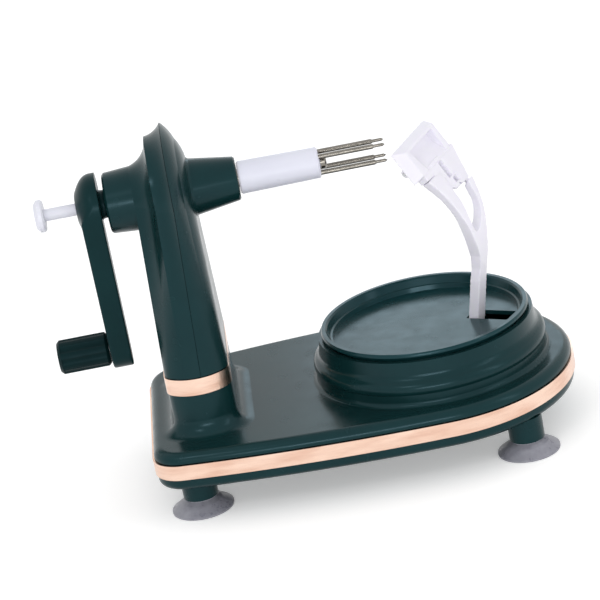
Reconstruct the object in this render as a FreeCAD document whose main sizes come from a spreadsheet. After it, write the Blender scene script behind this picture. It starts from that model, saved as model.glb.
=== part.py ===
import FreeCAD, Part
import math
import os
import re

import Sketcher
from FreeCAD import Placement, Rotation, Vector

# Hand-cranked apple peeler. Millimetres, +Z up, X from the crank towards the dish.
# The origin is on the table, under the column's vertical drive shaft.

# Driving sizes: the name, the value and what it measures.
SIZES = [
    ("wall", 2.4, "moulded wall of the base shells"),
    ("column_wall", 1.8, "moulded wall of the column shells"),
    ("seam", 0.2, "open line between two shells"),
    ("fit", 0.05, "radial clearance of a seated piece"),
    ("running", 0.08, "radial clearance of a turning fit"),
    # Base
    ("base_bottom", 18.3, "underside of the lower shell above the table"),
    ("band_bottom", 24.4, "lower edge of the trim band"),
    ("band_top", 33.0, "upper edge of the trim band"),
    ("band_proud", 1.0, "trim band stands out from the shells"),
    ("deck_top", 38.2, "top of the base"),
    ("base_left", 29.5, "column axis to the flat rear end"),
    ("corner_radius", 17.0, "rear corners of the base"),
    ("corner_centre", 45.5, "rear corner's centre from the middle plane"),
    ("side_radius", 700.0, "bow of the long sides"),
    ("end_radius", 72.5, "round end about the dish axis"),
    ("bottom_round", 3.6, "rounded lower edge"),
    ("top_round", 4.8, "rounded upper edge"),
    ("lip_thick", 1.5, "inner lip that carries the band"),
    ("lip_reach", 3.0, "lip's reach behind the band"),
    # Feet
    ("post_radius", 9.0, "foot posts"),
    ("post_bottom", 7.0, "lower end of the foot posts"),
    ("cup_radius", 15.9, "suction cup's rim"),
    ("cup_height", 7.4, "suction cup without its stem"),
    ("cup_stem_radius", 4.2, "stem pressed into the post"),
    ("cup_stem_length", 6.5, "stem's length"),
    ("rear_foot_inset", 20.0, "rear feet inside the rear end and the sides"),
    ("rear_foot_back", "=base_left - rear_foot_inset", "rear feet behind the column axis"),
    ("rear_foot_side", "=corner_centre + corner_radius - rear_foot_inset", "rear feet from the middle plane"),
    ("front_foot_inset", 9.79, "front feet inside the round end"),
    ("front_foot_angle", 52.13, "front feet round the dish axis, degrees"),
    ("front_foot_ahead", "=(end_radius - front_foot_inset) * cos(front_foot_angle * 1 deg)", "ahead of the dish axis"),
    ("front_foot_side", "=(end_radius - front_foot_inset) * sin(front_foot_angle * 1 deg)", "from the middle plane"),
    # Screws
    ("screw_radius", 1.5, "screw shank"),
    ("screw_head_radius", 3.0, "screw head"),
    ("screw_head_height", 2.0, "screw head"),
    ("screw_sink", 3.2, "depth of the head's recess"),
    ("screw_length", 15.0, "base screws under the head"),
    ("screw_boss_radius", 4.2, "bosses round the base screws"),
    ("rear_screw_ahead", 12.0, "rear screws ahead of the column axis"),
    ("rear_screw_inset", 6.5, "rear screws inside the corners' side"),
    ("middle_screw_back", 29.4, "middle screws behind the dish axis"),
    ("middle_screw_inset", 11.5, "middle screws inside the round end's width"),
    ("front_screw_inset", 9.6, "front screws inside the round end"),
    ("front_screw_angle", 36.5, "front screws round the dish axis, degrees"),
    # Collar under the dish
    ("collar_top", 60.6, "upper edge of the collar"),
    ("collar_top_radius", 55.5, "collar's outside at the top"),
    ("collar_foot_radius", 59.6, "upright step at the collar's foot"),
    ("collar_cove", 2.5, "cove between the step and the base"),
    ("collar_roll_height", 44.4, "lower edge of the collar's roll"),
    ("collar_waist_radius", 58.4, "collar above its roll"),
    ("collar_waist_height", 50.6, "top of the roll"),
    ("collar_bore", 52.6, "inside of the collar"),
    # Dish
    ("dish_ahead", "=spur_module * (pinion_teeth + wheel_teeth)", "column axis to dish axis, two gear steps"),
    ("dish_turn", 33.0, "dish turned at rest, clockwise from above"),
    ("dish_floor", 57.7, "floor of the dish above the table"),
    ("dish_floor_radius", 47.7, "flat floor"),
    ("dish_thick", 2.2, "floor and wall of the dish"),
    ("dish_rim_top", 64.4, "top of the rim"),
    ("dish_rim_radius", 54.0, "outside of the rim"),
    ("dish_lip_width", 3.0, "flat top of the rim"),
    ("dish_lip_thick", 1.8, "edge of the rim"),
    ("hub_radius", 9.0, "dish's hub"),
    ("axle_radius", 4.5, "fixed post that the dish turns on"),
    ("slot_inner", 18.8, "arm slot's inner end from the dish axis"),
    ("slot_outer", 42.4, "arm slot's outer end"),
    ("slot_offset", 14.7, "arm slot's middle beside the dish axis"),
    ("slot_width", 11.1, "arm slot"),
    # Column
    ("column_back", 15.7, "column's rear face behind its axis"),
    ("column_front", 16.9, "column's front face ahead of its axis"),
    ("column_half_depth", 42.0, "column's reach to each side at the foot"),
    ("column_side", 30.0, "half width of the column's flat faces"),
    ("column_corner_radius", 9.0, "column's round corners"),
    ("stub_top", 60.0, "lower edge of the column's ring"),
    ("ring_top", 69.5, "upper edge of the column's ring"),
    ("ring_proud", 0.5, "ring stands out from the column"),
    ("stub_round", 7.8, "round at the column's foot"),
    ("spigot_rise", 3.0, "spigot above the ring"),
    ("spigot_slack", 0.32, "play round the spigot"),
    ("spindle_height", 154.7, "spindle axis above the table"),
    ("head_radius", 35.0, "ridge round the column's head"),
    ("ridge_ahead", 6.0, "ridge ahead of the column axis, at the head"),
    ("ridge_ahead_foot", 2.5, "ridge ahead of the column axis, at the ring"),
    ("shoulder_back_foot", 6.0, "shoulder behind the column axis, at the ring"),
    ("shoulder_radius", 29.6, "shoulder behind the ridge"),
    ("shoulder_back", 3.0, "shoulder behind the column axis"),
    ("neck_radius", 24.0, "foot of the shoulder"),
    ("neck_back", 4.2, "foot of the shoulder behind the column axis"),
    ("rear_boss_radius", 16.4, "rear bearing boss at its root"),
    ("rear_boss_root", 13.3, "root of the rear boss behind the axis"),
    ("rear_boss_end_radius", 15.5, "rear bearing boss at its face"),
    ("rear_boss_end", 27.5, "face of the rear boss behind the axis"),
    ("dome_radius", 26.0, "dome ahead of the ridge, at its middle"),
    ("dome_ahead", 11.8, "the same place ahead of the column axis"),
    ("front_boss_radius", 15.4, "front bearing boss at its root"),
    ("front_boss_root", 15.6, "root of the front boss ahead of the axis"),
    ("neck_cove", 14.0, "hollow between the rear boss and the neck"),
    ("ridge_cove", 12.0, "hollow between the shoulder and the ridge"),
    ("dome_curve", 24.0, "curve of the dome"),
    ("front_boss_end_radius", 11.2, "front bearing boss at its face"),
    ("front_boss_end", 39.5, "face of the front boss ahead of the axis"),
    # Spindle
    ("spindle_radius", 4.6, "hollow spindle"),
    ("spindle_front", 66.0, "front end of the spindle"),
    ("bush_radius", 7.2, "spindle bushes"),
    ("bush_flange_radius", 9.0, "flanges of the spindle bushes"),
    ("bush_flange", 1.6, "thickness of a bush's flange"),
    ("sleeve_start", 39.9, "fork sleeve's rear end"),
    ("sleeve_end", 81.2, "fork sleeve's front end"),
    ("sleeve_rear_radius", 8.4, "fork sleeve at the rear"),
    ("sleeve_front_radius", 7.9, "fork sleeve at the front"),
    ("tine_spread", 4.2, "tines from the spindle axis, each way"),
    ("tine_radius", 1.25, "thick part of a tine"),
    ("tine_step", 109.5, "where the tines turn thin"),
    ("tine_point_radius", 0.8, "thin end of a tine"),
    ("tine_tip", 115.2, "tips of the tines"),
    ("tine_seat", 9.0, "depth of the tines in the sleeve"),
    ("rod_radius", 3.1, "push rod"),
    ("ejector_radius", 3.6, "ejector button between the tines"),
    ("ejector_length", 3.0, "ejector button"),
    ("knob_radius", 8.3, "push knob"),
    ("knob_thick", 4.6, "push knob"),
    ("knob_face", 59.5, "knob's inner face behind the column axis"),
    # Crank
    ("crank_front", 30.4, "crank arm's face nearest the column"),
    ("crank_thick", 11.0, "crank arm"),
    ("crank_crown", 1.6, "crown over the crank's upper end"),
    ("crank_top_radius", 16.6, "crank arm's upper end"),
    ("crank_grip_radius", 10.6, "crank arm's lower end"),
    ("crank_reach", 76.8, "spindle axis to grip axis"),
    ("crank_edge", 1.0, "crank arm's rounded edges"),
    ("grip_radius", 8.8, "crank grip"),
    ("grip_start", 42.0, "grip's end nearest the crank"),
    ("grip_end", 68.3, "grip's outer end"),
    ("grip_pin_radius", 3.2, "pin through the grip"),
    ("grip_flute_radius", 4.0, "flutes of the grip"),
    ("grip_flutes", 8, "number of flutes"),
    # Gears
    ("bevel_teeth", 16, "both bevel gears"),
    ("bevel_module", 1.2, "bevel gears"),
    ("bevel_face", 3.4, "bevel gears' width along the axis"),
    ("shaft_radius", 3.0, "vertical drive shaft"),
    ("shaft_bottom", 19.6, "lower end of the drive shaft"),
    ("spur_module", 1.99, "spur gears"),
    ("pinion_teeth", 10, "both pinions"),
    ("wheel_teeth", 50, "both wheels"),
    ("wheel_thick", 4.0, "spur wheels"),
    ("first_wheel_bottom", 22.0, "lower face of the first wheel"),
    ("second_wheel_bottom", 27.6, "lower face of the dish gear"),
    ("gear_hub_radius", 6.2, "hubs of the spur wheels"),
    ("gear_post_radius", 3.5, "post that the middle gear turns on"),
    ("pressure_angle", 25.0, "all gears, degrees"),
    ("backlash", 0.24, "play between teeth at the pitch circle"),
    ("upper_bush_drop", 25.7, "web of the upper shaft bush below the spindle axis"),
    ("upper_bush_height", "=spindle_height - upper_bush_drop", "web that holds the upper shaft bush"),
    ("web_thick", 3.0, "web inside the column"),
    ("shaft_bush_radius", 5.2, "bushes of the drive shaft"),
    ("gear_screw_radius", 1.0, "screws of the dish gear"),
    ("gear_screw_length", 5.0, "the same screws in the hub"),
    # Blade arm
    ("arm_pivot_drop", 14.0, "hinge pin below the dish floor"),
    ("arm_lean", 12.3, "stem leans outwards, degrees"),
    ("arm_bow_start", 26.3, "where the stem begins to bow, above the floor"),
    ("arm_foot_reach", 22.57, "stem's middle at the floor from the dish axis"),
    ("arm_thick", 5.4, "arm from its inner to its outer face"),
    ("arm_width", 8.6, "stem along the slot's short side"),
    ("arm_eye_radius", 3.6, "eye round the hinge pin"),
    ("arm_pin_radius", 1.5, "hinge pin"),
    ("ear_thick", 2.0, "ears under the dish that hold the pin"),
    ("ear_gap", 1.2, "near ear beside the slot's edge"),
    ("far_ear_gap", 4.9, "far ear beyond the slot, with room for the spring"),
    ("spring_wire", 0.9, "wire of the arm's spring"),
    ("spring_turns", 3.5, "turns of the arm's spring"),
    ("spring_pitch", 1.35, "step of one turn"),
    ("spring_leg", 7.0, "spring's leg up the arm"),
    ("spring_radius", 2.9, "middle of the wire from the pin's axis"),
    # Blade head, in the plane of its tray
    ("head_out", 2.26, "tray's upper near corner from the dish axis"),
    ("head_side", 9.0, "the same corner, to the near side"),
    ("head_rise", 96.0, "the same corner above the dish floor"),
    ("head_tilt", 29.5, "tray leans inwards, degrees"),
    ("head_roll", 5.7, "tray rises towards its far end, degrees"),
    ("tray_length", 42.1, "blade tray"),
    ("tray_width", 19.7, "blade tray"),
    ("tray_depth", 6.0, "blade tray"),
    ("tray_floor", 1.6, "thin floor on the fruit's side"),
    ("near_lug", 9.4, "near prong's middle along the tray"),
    ("near_lug_drop", 22.4, "near prong's end below the upper edge"),
    ("far_leg", 35.0, "far prong's middle along the tray"),
    ("far_leg_drop", 37.0, "far prong's end below the upper edge"),
    ("prong_depth", 5.4, "legs of the head"),
    ("tenon", 3.0, "tenons of the prongs, square"),
    ("tray_slope", 3.6, "tray's outer walls draw in over its depth"),
    ("blade_drop", 12.4, "blade's axis below the tray's upper edge"),
    ("blade_under", 2.4, "blade's axis beyond the tray's floor"),
    ("blade_ear", 1.6, "ears that hold the blade"),
    ("blade_span", 33.7, "between the ears that hold the blade"),
    ("blade_curve", 15.6, "blade's cross curve"),
    ("blade_swing", 0.35, "blade's end play"),
    ("blade_width", 9.0, "peeling blade"),
    ("blade_thick", 0.7, "peeling blade"),
    ("blade_slot", 1.6, "slot that the peel passes"),
    ("blade_pin_radius", 1.0, "blade's end pins"),
]

doc = FreeCAD.newDocument("apple_peeler")
sheet = doc.addObject("Spreadsheet::Sheet", "Sizes")
for row, (alias, size, meaning) in enumerate(SIZES, start=1):
    sheet.set("A%d" % row, meaning)
    sheet.set("B%d" % row, str(size))
    sheet.setAlias("B%d" % row, alias)
doc.recompute()

NAMES = {alias for alias, size, meaning in SIZES}
parts = {}


def bound(text):
    """Writes the size names in an expression as cells of the sheet."""
    return re.sub(r"[a-z][a-z0-9_]*", lambda m: "Sizes." + m.group(0) if m.group(0) in NAMES else m.group(0), text)


def value(text):
    """Number that an expression of size names comes to."""
    return float(sheet.evalExpression(bound(text)))


# Placing and naming

def place(piece, x="0", y="0", z="0", turn="0"):
    """Puts a piece at bound coordinates, turned about the vertical by bound degrees."""
    for path, text in (("Base.x", x), ("Base.y", y), ("Base.z", z), ("Rotation.Angle", turn)):
        if text != "0":
            piece.setExpression("Placement." + path, bound(text))
    return piece


def name_part(piece, name):
    """Names a finished sub-part after its file."""
    piece.Label = name
    parts[name] = piece
    return piece


def add_body(name):
    """Starts a body for one sub-part."""
    return name_part(doc.addObject("PartDesign::Body", name), name)


def add_shape(name, shape, placement=Placement()):
    """Holds a shape worked out from the sizes as a sub-part."""
    piece = doc.addObject("Part::Feature", name)
    piece.Shape = shape
    piece.Placement = placement
    return name_part(piece, name)


# Sketches

def add_sketch(owner, name, plane, level="0"):
    """Sketch on an origin plane of its body, moved along the plane's normal."""
    sketch = owner.newObject("Sketcher::SketchObject", name)
    for feature in owner.Origin.OriginFeatures:
        if feature.Role == plane:
            sketch.AttachmentSupport = [(feature, "")]
    sketch.MapMode = "FlatFace"
    if level != "0":
        sketch.setExpression("AttachmentOffset.Base.z", bound(level))
    return sketch


def arc_between(start, end, radius):
    """Short arc from start to end; it bends left if the radius is positive. Gives the arc and its end order."""
    chord = end - start
    rise = math.sqrt(max(radius * radius - chord.Length ** 2 / 4, 0.0))
    left = Vector(-chord.y, chord.x, 0).normalize()
    centre = (start + end) * 0.5 + left * math.copysign(rise, radius)
    circle = Part.Circle(centre, Vector(0, 0, 1), abs(radius))
    first, last = (start, end) if radius > 0 else (end, start)
    arc = Part.ArcOfCircle(circle, circle.parameter(first), circle.parameter(last))
    return arc, (1, 2) if radius > 0 else (2, 1)


def pin_point(sketch, geometry, vertex, across, up):
    """Fixes a point of the sketch at bound coordinates."""
    for kind, text, axis in (("DistanceX", across, -2), ("DistanceY", up, -1)):
        if text == "0":
            sketch.addConstraint(Sketcher.Constraint("PointOnObject", geometry, vertex, axis))
        else:
            index = sketch.addConstraint(Sketcher.Constraint(kind, -1, 1, geometry, vertex, value(text)))
            sketch.setExpression("Constraints[%d]" % index, bound(text))


def draw_outline(sketch, corners):
    """Closed outline of (across, up) corners; a third item, signed, is the radius of the arc to the next."""
    points = [Vector(value(corner[0]), value(corner[1]), 0) for corner in corners]
    first = sketch.GeometryCount
    ends = []
    for i, corner in enumerate(corners):
        start, end = points[i], points[(i + 1) % len(points)]
        if len(corner) == 3:
            sign = -1 if corner[2].startswith("-") else 1
            arc, order = arc_between(start, end, sign * value(corner[2][1:]))
            sketch.addGeometry(arc, False)
            index = sketch.addConstraint(Sketcher.Constraint("Radius", first + i, value(corner[2][1:])))
            sketch.setExpression("Constraints[%d]" % index, bound(corner[2][1:]))
            ends.append(order)
        else:
            sketch.addGeometry(Part.LineSegment(start, end), False)
            ends.append((1, 2))
    for i, corner in enumerate(corners):
        before = (i - 1) % len(corners)
        meeting = (first + before, ends[before][1], first + i, ends[i][0])
        sketch.addConstraint(Sketcher.Constraint("Coincident", *meeting))
        pin_point(sketch, first + i, ends[i][0], corner[0], corner[1])
    return sketch


def draw_circles(sketch, circles):
    """Circles of (across, up, radius)."""
    for across, up, radius in circles:
        centre = Vector(value(across), value(up), 0)
        index = sketch.addGeometry(Part.Circle(centre, Vector(0, 0, 1), value(radius)), False)
        number = sketch.addConstraint(Sketcher.Constraint("Radius", index, value(radius)))
        sketch.setExpression("Constraints[%d]" % number, bound(radius))
        pin_point(sketch, index, 3, across, up)
    return sketch


# Features

def pad(owner, name, sketch, length, downwards=False):
    """Adds material from a sketch."""
    feature = owner.newObject("PartDesign::Pad", name)
    feature.Profile = sketch
    feature.setExpression("Length", bound(length))
    feature.Reversed = downwards
    sketch.Visibility = False
    doc.recompute()
    return feature


def pocket(owner, name, sketch, length, upwards=False):
    """Cuts from a sketch, and makes sure that something was cut."""
    before = owner.Shape.Volume
    feature = owner.newObject("PartDesign::Pocket", name)
    feature.Profile = sketch
    feature.setExpression("Length", bound(length))
    feature.Reversed = upwards
    sketch.Visibility = False
    doc.recompute()
    if owner.Shape.Volume > before - 1e-6:
        raise RuntimeError(name + " cuts nothing")
    return feature


def revolve(owner, name, corners, plane="XZ_Plane", axis="V_Axis"):
    """Turned form from a half outline."""
    sketch = draw_outline(add_sketch(owner, name + "_outline", plane), corners)
    feature = owner.newObject("PartDesign::Revolution", name)
    feature.Profile = sketch
    feature.ReferenceAxis = (sketch, [axis])
    feature.Angle = 360
    doc.recompute()
    return feature


def round_edges(owner, name, feature, radius, wanted):
    """Rounds the edges of a feature that the test picks by their middle point and ends."""
    edges = ["Edge%d" % (i + 1) for i, edge in enumerate(feature.Shape.Edges) if wanted(edge)]
    if not edges:
        raise RuntimeError(name + " finds no edge")
    fillet = owner.newObject("PartDesign::Fillet", name)
    fillet.Base = (feature, edges)
    fillet.setExpression("Radius", bound(radius))
    doc.recompute()
    return fillet


def at_level(edge, level):
    """Tells whether an edge lies flat at one height."""
    box = edge.BoundBox
    return abs(box.ZMin - level) < 1e-4 and abs(box.ZMax - level) < 1e-4


# Base outline: flat rear end, round corners, bowed sides and a round end about the dish axis.
# The base shells are drawn from the dish axis, so X runs from there.

def draw_base(sketch, inset):
    """Draws the base's plan, drawn in by the inset all round."""
    drawn_in = value(inset)
    left = -value("dish_ahead") - value("base_left") + drawn_in
    corner = value("corner_radius") - drawn_in
    side = value("side_radius") - drawn_in
    end = value("end_radius") - drawn_in
    corner_at = Vector(left + corner, value("corner_centre"), 0)
    reach, spread = side - end, side - corner
    distance = corner_at.Length
    along = (reach ** 2 - spread ** 2 + distance ** 2) / (2 * distance)
    away = math.sqrt(reach ** 2 - along ** 2)
    towards = corner_at * (1 / distance)
    centres = [towards * along + Vector(s * towards.y, -s * towards.x, 0) * away for s in (1, -1)]
    side_at = min(centres, key=lambda centre: centre.y)
    corner_end = corner_at + (corner_at - side_at).normalize() * corner
    side_end = side_at * (-end / side_at.Length)
    first = sketch.GeometryCount

    def mirrored(point):
        return Vector(point.x, -point.y, 0)

    def add_arc(centre, radius, start, finish):
        circle = Part.Circle(centre, Vector(0, 0, 1), radius)
        sketch.addGeometry(Part.ArcOfCircle(circle, circle.parameter(start), circle.parameter(finish)), False)

    rear = Vector(left, corner_at.y, 0)
    sketch.addGeometry(Part.LineSegment(rear, mirrored(rear)), False)
    add_arc(mirrored(corner_at), corner, mirrored(rear), mirrored(corner_end))
    add_arc(mirrored(side_at), side, mirrored(corner_end), mirrored(side_end))
    add_arc(Vector(0, 0, 0), end, mirrored(side_end), side_end)
    add_arc(side_at, side, side_end, corner_end)
    add_arc(corner_at, corner, corner_end, rear)
    for i in range(6):
        after = first + (i + 1) % 6
        sketch.addConstraint(Sketcher.Constraint("Tangent", first + i, 2, after, 1))
    pin_point(sketch, first, 1, "-dish_ahead - base_left + (%s)" % inset, "corner_centre")
    sketch.addConstraint(Sketcher.Constraint("Coincident", first + 3, 3, -1, 1))
    index = sketch.addConstraint(Sketcher.Constraint("DistanceY", -1, 1, first, 2, -value("corner_centre")))
    sketch.setExpression("Constraints[%d]" % index, bound("-corner_centre"))
    radii = ((1, "corner_radius"), (2, "side_radius"), (3, "end_radius"), (4, "side_radius"), (5, "corner_radius"))
    for offset, radius in radii:
        text = "%s - (%s)" % (radius, inset)
        index = sketch.addConstraint(Sketcher.Constraint("Radius", first + offset, value(text)))
        sketch.setExpression("Constraints[%d]" % index, bound(text))
    return sketch


REAR_SCREW = ("rear_screw_ahead - dish_ahead", "(corner_centre + corner_radius - rear_screw_inset)")
MIDDLE_SCREW = ("-middle_screw_back", "(end_radius - middle_screw_inset)")
FRONT_SCREW = ("(end_radius - front_screw_inset) * cos(front_screw_angle * 1 deg)",
               "(end_radius - front_screw_inset) * sin(front_screw_angle * 1 deg)")
SCREWS = [(x, side + y) for x, y in (REAR_SCREW, MIDDLE_SCREW, FRONT_SCREW) for side in ("", "-")]
FEET = [
    ("-dish_ahead - rear_foot_back", "rear_foot_side"), ("-dish_ahead - rear_foot_back", "-rear_foot_side"),
    ("front_foot_ahead", "front_foot_side"), ("front_foot_ahead", "-front_foot_side"),
]
MIDDLE_GEAR = "spur_module * (pinion_teeth + wheel_teeth) / 2"


def make_lower_shell():
    """Tray with the foot posts, the posts of the gears and the screw bosses."""
    body = add_body("base_lower_shell")
    floor = "base_bottom + wall"
    outline = draw_base(add_sketch(body, "lower_plan", "XY_Plane", "base_bottom"), "band_proud")
    tray = pad(body, "lower_tray", outline, "band_bottom - base_bottom")
    low = value("base_bottom")
    round_edges(body, "lower_edge", tray, "bottom_round", lambda edge: at_level(edge, low))
    posts = draw_circles(add_sketch(body, "foot_posts", "XY_Plane", "post_bottom"),
                         [(x, y, "post_radius") for x, y in FEET])
    pad(body, "foot_post_pads", posts, "base_bottom + wall / 2 - post_bottom")
    inside = draw_base(add_sketch(body, "lower_inside", "XY_Plane", "band_bottom"), "band_proud + wall")
    pocket(body, "lower_hollow", inside, "band_bottom - base_bottom - wall")
    lip = add_sketch(body, "lower_lip", "XY_Plane", floor)
    draw_base(lip, "band_proud + wall")
    draw_base(lip, "band_proud + wall + lip_thick")
    pad(body, "lower_lip_pad", lip, "band_bottom + lip_reach - base_bottom - wall")
    bosses = draw_circles(add_sketch(body, "screw_bosses", "XY_Plane", floor),
                          [(x, y, "screw_boss_radius") for x, y in SCREWS])
    pad(body, "screw_boss_pads", bosses, "first_wheel_bottom + wheel_thick + 1 - base_bottom - wall")
    centre = MIDDLE_GEAR + " - dish_ahead"
    gear_post = draw_circles(add_sketch(body, "gear_post", "XY_Plane", floor), [(centre, "0", "gear_post_radius")])
    pad(body, "gear_post_pad", gear_post, "second_wheel_bottom + wheel_thick + 1.4 - base_bottom - wall")
    axle = draw_circles(add_sketch(body, "dish_axle", "XY_Plane", floor), [("0", "0", "axle_radius")])
    pad(body, "dish_axle_pad", axle, "dish_floor - dish_thick - 3 - base_bottom - wall")
    collars = draw_circles(add_sketch(body, "gear_steps", "XY_Plane", floor),
                           [(centre, "0", "gear_hub_radius"), ("-dish_ahead", "0", "gear_hub_radius")])
    pad(body, "gear_step_pads", collars, "first_wheel_bottom - base_bottom - wall - 0.3")
    bearing = draw_circles(add_sketch(body, "shaft_seat", "XY_Plane", "first_wheel_bottom"),
                           [("-dish_ahead", "0", "shaft_radius + running")])
    pocket(body, "shaft_seat_hole", bearing, "first_wheel_bottom - shaft_bottom + 0.1")
    sinks = draw_circles(add_sketch(body, "screw_sinks", "XY_Plane", "base_bottom"),
                         [(x, y, "screw_head_radius + 0.3") for x, y in SCREWS])
    pocket(body, "screw_sink_holes", sinks, "screw_sink", upwards=True)
    holes = draw_circles(add_sketch(body, "screw_holes", "XY_Plane", "base_bottom"),
                         [(x, y, "screw_radius + fit") for x, y in SCREWS])
    pocket(body, "screw_through_holes", holes, "band_bottom", upwards=True)
    sockets = draw_circles(add_sketch(body, "cup_sockets", "XY_Plane", "post_bottom"),
                           [(x, y, "cup_stem_radius + fit") for x, y in FEET])
    pocket(body, "cup_socket_holes", sockets, "cup_stem_length + 1", upwards=True)
    place(body, x="dish_ahead")


def make_trim_band():
    """Metallic band between the two base shells."""
    body = add_body("base_trim_band")
    sketch = add_sketch(body, "band_plan", "XY_Plane", "band_bottom")
    draw_base(sketch, "0")
    draw_base(sketch, "band_proud + wall - fit")
    pad(body, "band", sketch, "band_top - band_bottom")
    place(body, x="dish_ahead")


def both_sides(half):
    """Completes an outline that runs from rear to front on the far side with its mirror image."""
    arcs = [corner[2:] for corner in half]
    mirror = [(half[i][0], "-(%s)" % half[i][1]) + (arcs[i - 1] if i else ()) for i in reversed(range(len(half)))]
    return list(half) + mirror


def column_half(inset, shift="0"):
    """Column's section on the far side: rear flat, round corner, crowned end, round corner, front flat."""
    middle = "((column_front - column_back) / 2 - (%s))" % shift
    half = "((column_front + column_back) / 2 - (%s))" % inset
    depth = "(column_half_depth - (%s))" % inset
    corner = "(column_corner_radius - (%s))" % inset
    across = "(%s - %s)" % (half, corner)
    beyond = "(%s - column_side)" % depth
    end = "((%s ^ 2 + %s ^ 2 - %s ^ 2) / (2 * (%s - %s)))" % (across, beyond, corner, beyond, corner)
    join_x = "(%s * %s / (%s - %s))" % (end, across, end, corner)
    join_y = "(%s - %s + %s * (column_side - %s + %s) / (%s - %s))" % (depth, end, end, depth, end, end, corner)
    return [
        ("%s - %s" % (middle, half), "column_side", "-" + corner),
        ("%s - %s" % (middle, join_x), join_y, "-" + end),
        ("%s + %s" % (middle, join_x), join_y, "-" + corner),
        ("%s + %s" % (middle, half), "column_side"),
    ], end, depth


def draw_column(sketch, inset, shift="0"):
    """Draws the column's section, drawn in by the inset all round."""
    return draw_outline(sketch, both_sides(column_half(inset, shift)[0]))


def make_upper_shell():
    """Upper shell with the collar round the dish and the stub and spigot of the column."""
    body = add_body("base_upper_shell")
    outline = draw_base(add_sketch(body, "upper_plan", "XY_Plane", "band_top"), "band_proud")
    top = pad(body, "upper_deck", outline, "deck_top - band_top")
    high = value("deck_top")
    round_edges(body, "upper_edge", top, "top_round", lambda edge: at_level(edge, high))
    revolve(body, "collar", [
        ("collar_bore", "deck_top - wall"),
        ("collar_foot_radius + collar_cove", "deck_top - wall"),
        ("collar_foot_radius + collar_cove", "deck_top", "-collar_cove"),
        ("collar_foot_radius", "deck_top + collar_cove"),
        ("collar_foot_radius", "collar_roll_height", "+4.5"),
        ("collar_waist_radius", "collar_waist_height", "-5"),
        ("collar_top_radius + 0.8", "collar_top - 6.6"),
        ("collar_top_radius", "collar_top"),
        ("collar_bore", "collar_top"),
    ])
    stub = draw_column(add_sketch(body, "stub_plan", "XY_Plane", "deck_top - wall"), "0", "dish_ahead")
    stub_pad = pad(body, "column_stub", stub, "stub_top - deck_top + wall")
    near = value("column_half_depth") + 1
    left = -value("dish_ahead") - value("column_back") - 1
    right = -value("dish_ahead") + value("column_front") + 1
    round_edges(body, "stub_foot", stub_pad, "stub_round", lambda edge: at_level(edge, high)
                and edge.BoundBox.XMin > left and edge.BoundBox.XMax < right and edge.BoundBox.YMax < near)
    spigot = draw_column(add_sketch(body, "spigot_plan", "XY_Plane", "stub_top"),
                         "column_wall + spigot_slack", "dish_ahead")
    pad(body, "spigot", spigot, "ring_top + spigot_rise - stub_top")
    shaft_way = draw_column(add_sketch(body, "shaft_way", "XY_Plane", "ring_top + spigot_rise"),
                            "column_wall + wall", "dish_ahead")
    pocket(body, "shaft_way_hole", shaft_way, "ring_top + spigot_rise - deck_top")
    inside = draw_base(add_sketch(body, "upper_inside", "XY_Plane", "band_top"), "band_proud + wall")
    pocket(body, "upper_hollow", inside, "deck_top - band_top - wall", upwards=True)
    lip = add_sketch(body, "upper_lip", "XY_Plane", "band_top - lip_reach")
    draw_base(lip, "band_proud + wall")
    draw_base(lip, "band_proud + wall + lip_thick")
    pad(body, "upper_lip_pad", lip, "deck_top - wall - band_top + lip_reach")
    bosses = draw_circles(add_sketch(body, "nut_bosses", "XY_Plane", "first_wheel_bottom + wheel_thick + 1.2"),
                          [(x, y, "screw_boss_radius") for x, y in SCREWS])
    pad(body, "nut_boss_pads", bosses, "deck_top - wall - first_wheel_bottom - wheel_thick - 1.2")
    holes = draw_circles(add_sketch(body, "nut_holes", "XY_Plane", "first_wheel_bottom + wheel_thick + 1.2"),
                         [(x, y, "screw_radius + fit") for x, y in SCREWS])
    pocket(body, "nut_blind_holes", holes, "deck_top - wall - first_wheel_bottom - wheel_thick", upwards=True)
    bores = draw_circles(add_sketch(body, "deck_bores", "XY_Plane", "deck_top"),
                         [("0", "0", "hub_radius + running"), ("-dish_ahead", "0", "shaft_bush_radius + fit")])
    pocket(body, "deck_bore_holes", bores, "wall + 1")
    place(body, x="dish_ahead")


def make_column_ring():
    """Metallic ring between the column's stub and its shells."""
    body = add_body("column_ring")
    sketch = add_sketch(body, "ring_plan", "XY_Plane", "stub_top")
    draw_column(sketch, "-ring_proud")
    draw_column(sketch, "column_wall")
    pad(body, "ring", sketch, "ring_top - stub_top")


def make_suction_cups():
    """Four soft cups, each with a stem pressed into its foot post."""
    for i, (x, y) in enumerate(FEET):
        body = add_body("suction_cup_%d" % (i + 1))
        revolve(body, "cup", [
            ("0", "cup_height * 0.55"),
            ("cup_radius * 0.5", "cup_height * 0.45", "-40"),
            ("cup_radius - 0.9", "0"),
            ("cup_radius", "0"),
            ("cup_radius", "0.9"),
            ("cup_radius * 0.66", "cup_height * 0.62", "-30"),
            ("post_radius - 1.2", "cup_height * 0.8", "-8"),
            ("post_radius - 1.4", "post_bottom"),
            ("cup_stem_radius", "post_bottom"),
            ("cup_stem_radius", "post_bottom + cup_stem_length"),
            ("0", "post_bottom + cup_stem_length"),
        ])
        place(body, x="dish_ahead + (%s)" % x, y=y)


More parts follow.
